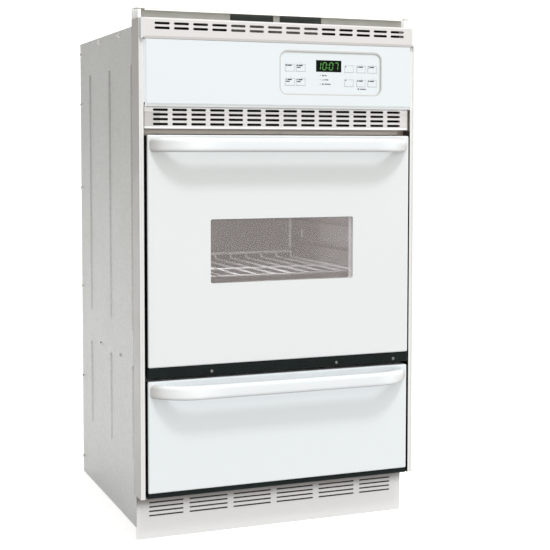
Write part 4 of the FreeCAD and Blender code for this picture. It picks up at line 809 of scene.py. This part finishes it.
# ------------------------------------------------------------------ screws
def phillips(head_r, head_h, seg=28):
    """A pan head with a cross recess, along +Z, its seat at 0. Returns (verts, faces)."""
    tool = Build()
    tool.lathe([(0.0, head_h), (head_r * 0.45, head_h * 0.97), (head_r * 0.78, head_h * 0.78), (head_r * 0.96, head_h * 0.4),
                (head_r, 0.0), (head_r, -0.0002), (0.0, -0.0002)], Vector((0, 0, 0)), (0, 0, 1), seg)
    objs = []
    for k, bb in enumerate((tool, Build())):
        if k == 1:
            w, l = head_r * 0.13, head_r * 0.56
            for a, c in ((l, w), (w, l)):
                bb.add([(-a, -c, head_h * 0.42), (a, -c, head_h * 0.42), (a, c, head_h * 0.42), (-a, c, head_h * 0.42),
                        (-a * 1.15, -c * 1.15, head_h * 2), (a * 1.15, -c * 1.15, head_h * 2), (a * 1.15, c * 1.15, head_h * 2),
                        (-a * 1.15, c * 1.15, head_h * 2)],
                       [(3, 2, 1, 0), (4, 5, 6, 7), (0, 1, 5, 4), (1, 2, 6, 5), (2, 3, 7, 6), (3, 0, 4, 7)])
        me = bpy.data.meshes.new("tmp")
        me.from_pydata([tuple(p) for p in bb.v], [], bb.f)
        bm = bmesh.new()
        bm.from_mesh(me)
        bmesh.ops.remove_doubles(bm, verts=bm.verts, dist=1e-7)
        bmesh.ops.recalc_face_normals(bm, faces=bm.faces)
        bm.to_mesh(me)
        bm.free()
        o = bpy.data.objects.new("tmp", me)
        scene.collection.objects.link(o)
        objs.append(o)
    mod = objs[0].modifiers.new("cross", "BOOLEAN")
    mod.object = objs[1]
    mod.operation = "DIFFERENCE"
    mod.solver = "EXACT"
    mod.use_self = True
    dg = bpy.context.evaluated_depsgraph_get()
    me = bpy.data.meshes.new_from_object(objs[0].evaluated_get(dg))
    out = ([v.co.copy() for v in me.vertices], [tuple(p.vertices) for p in me.polygons])
    for o in objs:
        bpy.data.objects.remove(o)
    return out


PAN = phillips(0.0045, 0.0017)
SMALL = phillips(0.0032, 0.0015)


def place(build, shape, where, axis, turn=0.0, slot=0):
    axis = Vector(axis).normalized()
    q = Vector((0, 0, 1)).rotation_difference(axis).to_matrix().to_4x4()
    m = Matrix.Translation(where) @ q @ Matrix.Rotation(turn, 4, "Z")
    build.add([m @ p for p in shape[0]], shape[1], slot)


b = Build()
for k, x in enumerate((-262, 0, 262)):
    place(b, PAN, at(x, 12, 821.7), (0, 0, 1), 0.4 + k)
    b.lathe([(0.0, 0.0), (0.0019, 0.0), (0.0019, -0.0082), (0.0, -0.009)], at(x, 12, 821.7), (0, 0, 1), 12)
for k, x in enumerate((-155, 121, 254)):
    place(b, SMALL, at(x, -4.5, 346), (0, -1, 0), 0.9 * k)
    b.lathe([(0.0, 0.0), (0.0019, 0.0), (0.0019, -0.002), (0.0, -0.002)], at(x, -4.5, 346), (0, -1, 0), 12)
o = b.done("door_screws_phillips", SCREW_DARK, "door", 30)
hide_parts("door_screws")

b = Build()
for k, x in enumerate((-289.5, 289.5)):
    b.lathe([(0.0, 0.0004), (0.0012, 0.0004), (0.00205, -0.0003), (0.00205, -0.0016), (0.0, -0.0016)],
            at(x, 47.2, 65.3), (0, -1, 0), 16)
b.done("toe_panel_screws", SCREW, "chassis", 30)

b = Build()
for k, (x, z) in enumerate([(-274, 400), (-274, 560), (-274, 720), (274, 400), (274, 560), (274, 720),
                            (-180, 803), (-90, 803), (90, 803), (180, 803), (-180, 358), (-60, 358), (60, 358), (180, 358)]):
    place(b, SMALL, at(x, 21.2, z), (0, 1, 0), 0.7 * k)
b.done("door_liner_screws", SCREW, "door", 30)


def hexes(name, spots, body, r=0.0042):
    """Flanged sheet-metal screws with hexagon heads. spots are (x, y, z, axis)."""
    b = Build()
    for k, (x, y, z, axis) in enumerate(spots):
        c = at(x, y, z)
        b.lathe([(0.0, 0.0011), (r * 0.8, 0.0011), (r * 1.18, 0.0006), (r * 1.25, -0.0003), (0.0, -0.0003)], c, axis, 20)
        b.lathe([(0.0, 0.0038), (r * 0.68, 0.0038), (r * 0.8, 0.0034), (r * 0.8, 0.0008), (0.0, 0.0008)], c, axis, 6, 0, 0.37 * k)
    return b.done(name, SCREW, body, 30)


# ------------------------------------------------------------------ keypad print
def stroke(points, w):
    """Outlines that draw a line of width w through 2-D points."""
    out = []
    for a, c in zip(points, points[1:]):
        dx, dz = c[0] - a[0], c[1] - a[1]
        l = math.hypot(dx, dz) or 1
        ex, ez = dx / l * w / 2, dz / l * w / 2
        nx, nz = -ez, ex
        out.append([(a[0] - ex + nx, a[1] - ez + nz), (a[0] - ex - nx, a[1] - ez - nz),
                    (c[0] + ex - nx, c[1] + ez - nz), (c[0] + ex + nx, c[1] + ez + nz)])
    return out


def ring2(cx, cz, r, n=20, a0=0.0, a1=360.0):
    return [(cx + r * math.cos(math.radians(a0 + (a1 - a0) * k / n)), cz + r * math.sin(math.radians(a0 + (a1 - a0) * k / n)))
            for k in range(n + 1)]


def ribbon(b, pts, w, front, back, slot=0, loop=False):
    """One flat line of even width through the points, as a single closed shell."""
    n = len(pts)
    left, right = [], []
    for i, p in enumerate(pts):
        a = pts[(i - 1) % n] if (loop or i > 0) else p
        c = pts[(i + 1) % n] if (loop or i < n - 1) else p
        dx, dz = c[0] - a[0], c[1] - a[1]
        l = math.hypot(dx, dz) or 1
        nx, nz = -dz / l * w / 2, dx / l * w / 2
        left.append((p[0] + nx, p[1] + nz))
        right.append((p[0] - nx, p[1] - nz))
    rings = [[at(l[0], front, l[1]), at(r[0], front, r[1]), at(r[0], back, r[1]), at(l[0], back, l[1])]
             for l, r in zip(left, right)]
    b.loft(rings, loop, slot)


def numeral(b, s, x, z, size, front, back, slot=0):
    """Flat printed figures, from the program's own outline font."""
    cu = bpy.data.curves.new("tmp", "FONT")
    cu.body = s
    cu.size = 1.0
    cu.align_x = "CENTER"
    o = bpy.data.objects.new("tmp", cu)
    scene.collection.objects.link(o)
    dg = bpy.context.evaluated_depsgraph_get()
    me = bpy.data.meshes.new_from_object(o.evaluated_get(dg))
    bm = bmesh.new()
    bm.from_mesh(me)
    bmesh.ops.remove_doubles(bm, verts=bm.verts, dist=1e-5)
    geo = bmesh.ops.extrude_face_region(bm, geom=bm.faces[:])
    lifted = [v for v in geo["geom"] if isinstance(v, bmesh.types.BMVert)]
    for v in lifted:
        v.co.z = 1.0
    bm.verts.index_update()
    verts = [at(x + v.co.x * size, back + (front - back) * v.co.z, z + v.co.y * size) for v in bm.verts]
    faces = [tuple(v.index for v in f.verts) for f in bm.faces]
    b.add(verts, faces, slot)
    bm.free()
    bpy.data.objects.remove(o)


KEYS = [("key_clock", 14.7, 960, "1"), ("key_stop_time", 38.8, 960, "2"), ("key_timer", 14.7, 931, "3"),
        ("key_start_time", 38.8, 931, "4"), ("key_up", 148, 960, ""), ("key_down", 148, 931, ""),
        ("key_bake", 175.5, 960, "5"), ("key_clear", 175.5, 931, "0"), ("key_broil", 201.1, 960, "6"),
        ("key_clean", 201.1, 931, "7")]
FACE, FILMY = -3.75, -3.5


def icon(kind, cx, cz):
    """Plain pictograms, about 4 mm high, as (lines, filled outlines)."""
    L, F = [], []
    if kind == "key_clock":
        L = [ring2(cx, cz, 1.8), [(cx, cz + 1.1), (cx, cz), (cx + 0.9, cz)]]
    elif kind == "key_stop_time":
        F = [[(cx - 1.5, cz - 1.5), (cx + 1.5, cz - 1.5), (cx + 1.5, cz + 1.5), (cx - 1.5, cz + 1.5)]]
    elif kind == "key_timer":
        F = [[(cx - 1.5, cz + 1.8), (cx, cz), (cx + 1.5, cz + 1.8)], [(cx - 1.5, cz - 1.8), (cx + 1.5, cz - 1.8), (cx, cz)]]
    elif kind == "key_start_time":
        F = [[(cx - 1.4, cz - 1.7), (cx + 1.6, cz), (cx - 1.4, cz + 1.7)]]
    elif kind == "key_up":
        F = [[(cx - 2, cz - 1.5), (cx + 2, cz - 1.5), (cx, cz + 1.8)]]
    elif kind == "key_down":
        F = [[(cx - 2, cz + 1.5), (cx, cz - 1.8), (cx + 2, cz + 1.5)]]
    elif kind == "key_bake":
        L = [[(cx - 2, cz + 1.7), (cx + 2, cz + 1.7)]]
        F = [[(cx - 2, cz - 1.8), (cx + 2, cz - 1.8), (cx + 2, cz - 0.7), (cx - 2, cz - 0.7)]]
    elif kind == "key_broil":
        L = [[(cx - 2, cz - 1.7), (cx + 2, cz - 1.7)]]
        F = [[(cx - 2, cz + 0.7), (cx + 2, cz + 0.7), (cx + 2, cz + 1.8), (cx - 2, cz + 1.8)]]
    elif kind == "key_clear":
        L = [[(cx - 1.5, cz - 1.5), (cx + 1.5, cz + 1.5)], [(cx - 1.5, cz + 1.5), (cx + 1.5, cz - 1.5)]]
    elif kind == "key_clean":
        L = [[(cx + 1.8 * math.cos(a), cz + 1.8 * math.sin(a)), (cx - 1.8 * math.cos(a), cz - 1.8 * math.sin(a))]
             for a in (0.0, math.pi / 3, 2 * math.pi / 3)]
    elif kind == "drop":
        F = [[(cx, cz + 1.9)] + ring2(cx, cz - 0.5, 1.15, 14, 30, -210)[::-1]]
    elif kind == "heat":
        L = [[(cx + dx + 0.35 * math.sin(t * 1.57), cz - 1.6 + 3.2 * t / 4) for t in range(5)] for dx in (-1.2, 0, 1.2)]
    elif kind == "lock":
        F = [[(cx - 1.5, cz - 1.7), (cx + 1.5, cz - 1.7), (cx + 1.5, cz + 0.3), (cx - 1.5, cz + 0.3)]]
        L = [ring2(cx, cz + 0.4, 1.0, 12, 0, 180)]
    return L, F


def draw(b, kind, cx, cz, front, back, slot=0):
    L, F = icon(kind, cx, cz)
    for l in L:
        ribbon(b, l, 1.0, front, back, slot)
    for f in F:
        b.plate(f, front, back, slot)


film = Build()
for name, x, z, figure in KEYS:
    b = Build()
    w, h, r = 9.75, 6.85, 1.4
    # thin outline, open at its upper left corner where the mark stands
    pts = [(x - w, z + 2.2)] + [(px, pz) for px, pz in
                                [(x - w, z - h + r)] + ring2(x - w + r, z - h + r, r, 6, 180, 270)[1:] +
                                ring2(x + w - r, z - h + r, r, 6, 270, 360) + ring2(x + w - r, z + h - r, r, 6, 0, 90)] + \
          [(x + 1.5, z + h)]
    ribbon(b, pts, 0.5, FACE - 0.03, FACE + 0.02, 0)
    if name in ("key_up", "key_down"):
        draw(b, name, x - w + 1.9, z + h - 1.6, FACE - 0.03, FACE + 0.02, 1)
    else:
        draw(b, name, x - w + 2.2, z + h - 2.0, FACE - 0.03, FACE + 0.02, 1)
        b.plate([(x - w + 4.8, z + h - 3.2), (x - w + 13.8, z + h - 3.2), (x - w + 13.8, z + h - 0.7), (x - w + 4.8, z + h - 0.7)],
                FACE - 0.03, FACE + 0.02, 1)
        if name in ("key_stop_time", "key_timer", "key_start_time"):
            b.plate([(x - w + 1.2, z + h - 6.9), (x - w + 9.6, z + h - 6.9), (x - w + 9.6, z + h - 4.9), (x - w + 1.2, z + h - 4.9)],
                    FACE - 0.03, FACE + 0.02, 1)
    b.done("print_" + name, [INK_LINE, INK], name + "_cap", 35)
    if figure:
        numeral(film, figure, x + 1.0, z + 8.6, 3.6, FILMY - 0.03, FILMY + 0.02, 0)
for z, kind, long in ((945.5, "heat", 5), (936.7, "drop", 9), (927.9, "lock", 14)):
    draw(film, kind, 88.6, z, FILMY - 0.03, FILMY + 0.02, 1)
    film.plate([(92.0, z - 1.0), (92.0 + long, z - 1.0), (92.0 + long, z + 0.9), (92.0, z + 0.9)], FILMY - 0.03, FILMY + 0.02, 1)
draw(film, "lock", 169.5, 919.2, FILMY - 0.03, FILMY + 0.02, 1)
film.plate([(173.0, 918.0), (187.0, 918.0), (187.0, 919.8), (173.0, 919.8)], FILMY - 0.03, FILMY + 0.02, 1)
film.done("print_keypad_marks", [INK_GREY, INK], "chassis", 35)

# Seven-segment figures under the display's black window, slanted a little.
SEG = {"0": "abcdef", "1": "bc", "2": "abged", "3": "abgcd", "4": "fgbc", "5": "afgcd", "6": "afgedc", "7": "abc",
       "8": "abcdefg", "9": "abcdfg"}


def digit(b, s, x, z, w, h, t, front, back):
    lines = {"a": ((0, 1), (1, 1)), "b": ((1, 1), (1, 0.5)), "c": ((1, 0.5), (1, 0)), "d": ((0, 0), (1, 0)),
             "e": ((0, 0.5), (0, 0)), "f": ((0, 1), (0, 0.5)), "g": ((0, 0.5), (1, 0.5))}
    for k in SEG[s]:
        (ax, az), (cx, cz) = lines[k]
        p, q = (x + ax * w + az * h * 0.11, z + az * h), (x + cx * w + cz * h * 0.11, z + cz * h)
        dx, dz = q[0] - p[0], q[1] - p[1]
        l = math.hypot(dx, dz)
        ex, ez = dx / l, dz / l
        nx, nz = -ez, ex
        g = t * 0.55
        p, q = (p[0] + ex * g * 0.55, p[1] + ez * g * 0.55), (q[0] - ex * g * 0.55, q[1] - ez * g * 0.55)
        outline = [(p[0], p[1]), (p[0] + ex * g + nx * t / 2, p[1] + ez * g + nz * t / 2),
                   (q[0] - ex * g + nx * t / 2, q[1] - ez * g + nz * t / 2), (q[0], q[1]),
                   (q[0] - ex * g - nx * t / 2, q[1] - ez * g - nz * t / 2), (p[0] + ex * g - nx * t / 2, p[1] + ez * g - nz * t / 2)]
        b.plate(outline[::-1], front, back)


b = Build()
DY = -3.7
for s, x, w in (("1", 76.0, 6.6), ("0", 87.6, 7.4), ("0", 102.6, 7.4), ("7", 114.2, 7.4)):
    digit(b, s, x, 957.4, w, 14.6, 1.5, DY - 0.05, DY + 0.03)
for z in (961.5, 967.5):
    b.lathe([(0.0, 0.00005), (0.00085, 0.00005), (0.00085, -0.00003), (0.0, -0.00003)], at(98.9 + (z - 956.6) * 0.11, DY, z), (0, -1, 0), 12)
b.done("display_figures", GLOW, "chassis", 35)


# ------------------------------------------------------------------ sheet-metal detail on the case
def bead(b, p, q, half, height, normal, slot=0):
    """A pressed stiffening bead from p to q on a face with that outward normal."""
    normal = Vector(normal)
    d = (q - p).normalized()
    side = d.cross(normal)
    rings = []
    for frac, lift in ((1.0, -0.0004), (1.0, 0.0), (0.86, 0.25), (0.66, 0.62), (0.42, 0.9), (0.15, 1.0)):
        ring = []
        r = half * frac
        for centre, a0 in ((q, -90), (p, 90)):
            for k in range(9):
                t = math.radians(a0 + 22.5 * k)
                ring.append(centre + d * (r * math.cos(t)) + side * (r * math.sin(t)) +
                            normal * (lift if lift < 0 else lift * height))
        rings.append(ring)
    b.loft(rings, False, slot)


for s, name in ((-1, "left"), (1, "right")):
    b = Build()
    n = (s, 0, 0)
    for y in (150, 337, 525):
        bead(b, at(s * 278, y, 150), at(s * 278, y, 330), 0.009, 0.0024, n)
        bead(b, at(s * 278, y, 420), at(s * 278, y, 960), 0.009, 0.0024, n)
    b.done("case_beads_" + name, GALV, "chassis", 45)
    hexes("case_screws_" + name,
          [(s * 278, y, z, n) for y in (70, 612) for z in (40, 240, 460, 700, 900, 1020)] +
          [(s * 278, y, z, n) for y in (250, 430) for z in (345.6, 1036)], "chassis")
hexes("vent_screws", [(x, y, 1046, (0, 0, 1)) for x in (-262, 262) for y in (90, 330, 600)] +
      [(x, 56, 1047, (0, 0, 1)) for x in (-230, -150, 150, 230)], "chassis", 0.0036)
b = Build()
for z0, z1 in ((1046, 1047),):
    for s in (-1, 1):
        b.box(min(s * 103, s * 118), max(s * 103, s * 118), 66, 500, 1046.05, 1047.2, 0.4)
b.done("duct_flanges", GALV, "chassis", 30)
hexes("duct_screws", [(s * 111, y, 1047.2, (0, 0, 1)) for s in (-1, 1) for y in (110, 250, 390, 480)], "chassis", 0.0034)

# Drawer box: rolled rims and rivets.
b = Build()
rim = spread(bent([at(-227.4, 44, 290), at(-227.4, 479.4, 290), at(227.4, 479.4, 290), at(227.4, 44, 290)], 0.004, 6), 0.06)
b.tube(rim, 0.0018, 10)
b.done("drawer_rim", GALV, "drawer", 60)
b = Build()
for s in (-1, 1):
    for y in (60, 200, 340, 455):
        b.lathe([(0.0, 0.0011), (0.0018, 0.0009), (0.0027, 0.0), (0.0027, -0.0002), (0.0, -0.0002)],
                at(s * 226.8, y, 198), (-s, 0, 0), 14)
b.done("drawer_rivets", SCREW, "drawer", 30)

# Burner ports: a row of small near-black discs down both sides of each burner tube, their colour painted shade standing
# for the holes.
def ports(name, z, r, y0, y1):
    b = Build()
    for s in (-1, 1):
        for side in (-1, 1):
            n = int((y1 - y0) / 11)
            for k in range(n + 1):
                y = y0 + 11 * k
                b.lathe([(0.0, 0.00012), (0.0011, 0.00012), (0.0012, -0.0003), (0.0, -0.0003)],
                        at(s * 90 + side * r, y, z), (side, 0, 0), 10)
    b.done(name, DARK, "chassis", 35)


ports("bake_burner_ports", 404, 11, 175, 455)
ports("broil_burner_ports", 755, 9, 185, 495)

# Gas inlet: the brass union seen in its hole at the back.
b = Build()
b.lathe([(0.0094, 0.0), (0.0128, 0.0), (0.0132, -0.0006), (0.0132, -0.012), (0.0094, -0.012)], at(-180, 625, 90), (0, 1, 0), 36)
b.done("gas_inlet_ring", BRASS, "chassis", 35)

# ------------------------------------------------------------------ floor, light, camera
me = bpy.data.meshes.new("floor")
n, size, verts, faces = 24, 30.0, [], []
for i in range(n + 1):
    for j in range(n + 1):
        verts.append((-size + 2 * size * i / n, -size + 2 * size * j / n, -0.0006))
for i in range(n):
    for j in range(n):
        a = i * (n + 1) + j
        faces.append((a, a + n + 1, a + n + 2, a + 1))
me.from_pydata(verts, [], faces)
floor = bpy.data.objects.new("floor", me)
scene.collection.objects.link(floor)
m = Mat("floor_paper", rough=0.9, spec=0.1)
m.colour(m.ramp(m.noise(1.5, 3.0), [(0.3, (0.93, 0.93, 0.93, 1)), (0.7, (0.945, 0.945, 0.945, 1))]))
m.roughness(m.range(m.noise(3.0, 2.0), 0.85, 0.95))
m.p.inputs["Emission Color"].default_value = (1, 1, 1, 1)
m.p.inputs["Emission Strength"].default_value = 0.48
me.materials.append(m.m)
floor.visible_diffuse = False

world = bpy.data.worlds.new("studio")
scene.world = world
world.use_nodes = True
wt = world.node_tree
for nd in list(wt.nodes):
    wt.nodes.remove(nd)
out = wt.nodes.new("ShaderNodeOutputWorld")
bg = wt.nodes.new("ShaderNodeBackground")
tc = wt.nodes.new("ShaderNodeTexCoord")
sx = wt.nodes.new("ShaderNodeSeparateXYZ")
mr = wt.nodes.new("ShaderNodeMapRange")
mr.interpolation_type = "SMOOTHSTEP"
mr.inputs["From Min"].default_value = -0.95
mr.inputs["From Max"].default_value = 0.2
cr = wt.nodes.new("ShaderNodeValToRGB")
cr.color_ramp.elements[0].color = (0.20, 0.19, 0.18, 1)
cr.color_ramp.elements[1].color = (1.0, 0.992, 0.975, 1)
wt.links.new(tc.outputs["Generated"], sx.inputs["Vector"])
wt.links.new(sx.outputs["X"], mr.inputs["Value"])
wt.links.new(mr.outputs["Result"], cr.inputs["Fac"])
lr = wt.nodes.new("ShaderNodeMapRange")
lr.interpolation_type = "SMOOTHSTEP"
lr.inputs["From Min"].default_value = -0.35
lr.inputs["From Max"].default_value = 0.05
lr.inputs["To Min"].default_value = 0.62
lr.inputs["To Max"].default_value = 1.0
mm = wt.nodes.new("ShaderNodeVectorMath")
mm.operation = "SCALE"
wt.links.new(sx.outputs["Z"], lr.inputs["Value"])
wt.links.new(cr.outputs["Color"], mm.inputs[0])
wt.links.new(lr.outputs["Result"], mm.inputs["Scale"])
wt.links.new(mm.outputs["Vector"], bg.inputs["Color"])
bg.inputs["Strength"].default_value = 1.40
wt.links.new(bg.outputs["Background"], out.inputs["Surface"])


def area(name, where, target, size, power, colour=(1, 1, 1)):
    l = bpy.data.lights.new(name, "AREA")
    l.shape = "DISK"
    l.size = size
    l.energy = power
    l.color = colour
    o = bpy.data.objects.new(name, l)
    scene.collection.objects.link(o)
    o.location = where
    o.rotation_euler = (Vector(target) - Vector(where)).to_track_quat("-Z", "Y").to_euler()
    return o


area("key", (0.15, -2.72, 4.4), (0.0, -0.3, 0.7), 0.75, 78, (0.93, 0.985, 1.0))
area("cavity", (-0.09, -0.17, 0.70), (0.20, 0.02, 0.56), 0.16, 2.3, (0.95, 0.97, 1.0))

cam = bpy.data.cameras.new("camera")
cam.sensor_fit = "HORIZONTAL"
cam.sensor_width = 36.0
co = bpy.data.objects.new("camera", cam)
scene.collection.objects.link(co)
yaw, pitch, roll = 0.375767, -0.0579, 0.0009
place_at = (-0.94014, -2.62642, 0.79454)
cam.lens, cam.shift_x, cam.shift_y = 80.50, 0.0, -0.10
right = Vector((math.cos(yaw), -math.sin(yaw), 0))
fwd = Vector((math.sin(yaw), math.cos(yaw), 0))
up = Vector((0, 0, 1))
f2 = fwd * math.cos(pitch) + up * math.sin(pitch)
u2 = -fwd * math.sin(pitch) + up * math.cos(pitch)
r3 = right * math.cos(roll) + u2 * math.sin(roll)
u3 = -right * math.sin(roll) + u2 * math.cos(roll)
co.matrix_world = Matrix(((r3.x, u3.x, -f2.x, place_at[0]), (r3.y, u3.y, -f2.y, place_at[1]),
                          (r3.z, u3.z, -f2.z, place_at[2]), (0, 0, 0, 1)))
cam.clip_start, cam.clip_end = 0.05, 200
scene.camera = co

scene.view_settings.view_transform = "Standard"
scene.view_settings.look = "None"
scene.view_settings.exposure = 0.0
scene.view_settings.gamma = 1.0

bpy.context.view_layer.update()
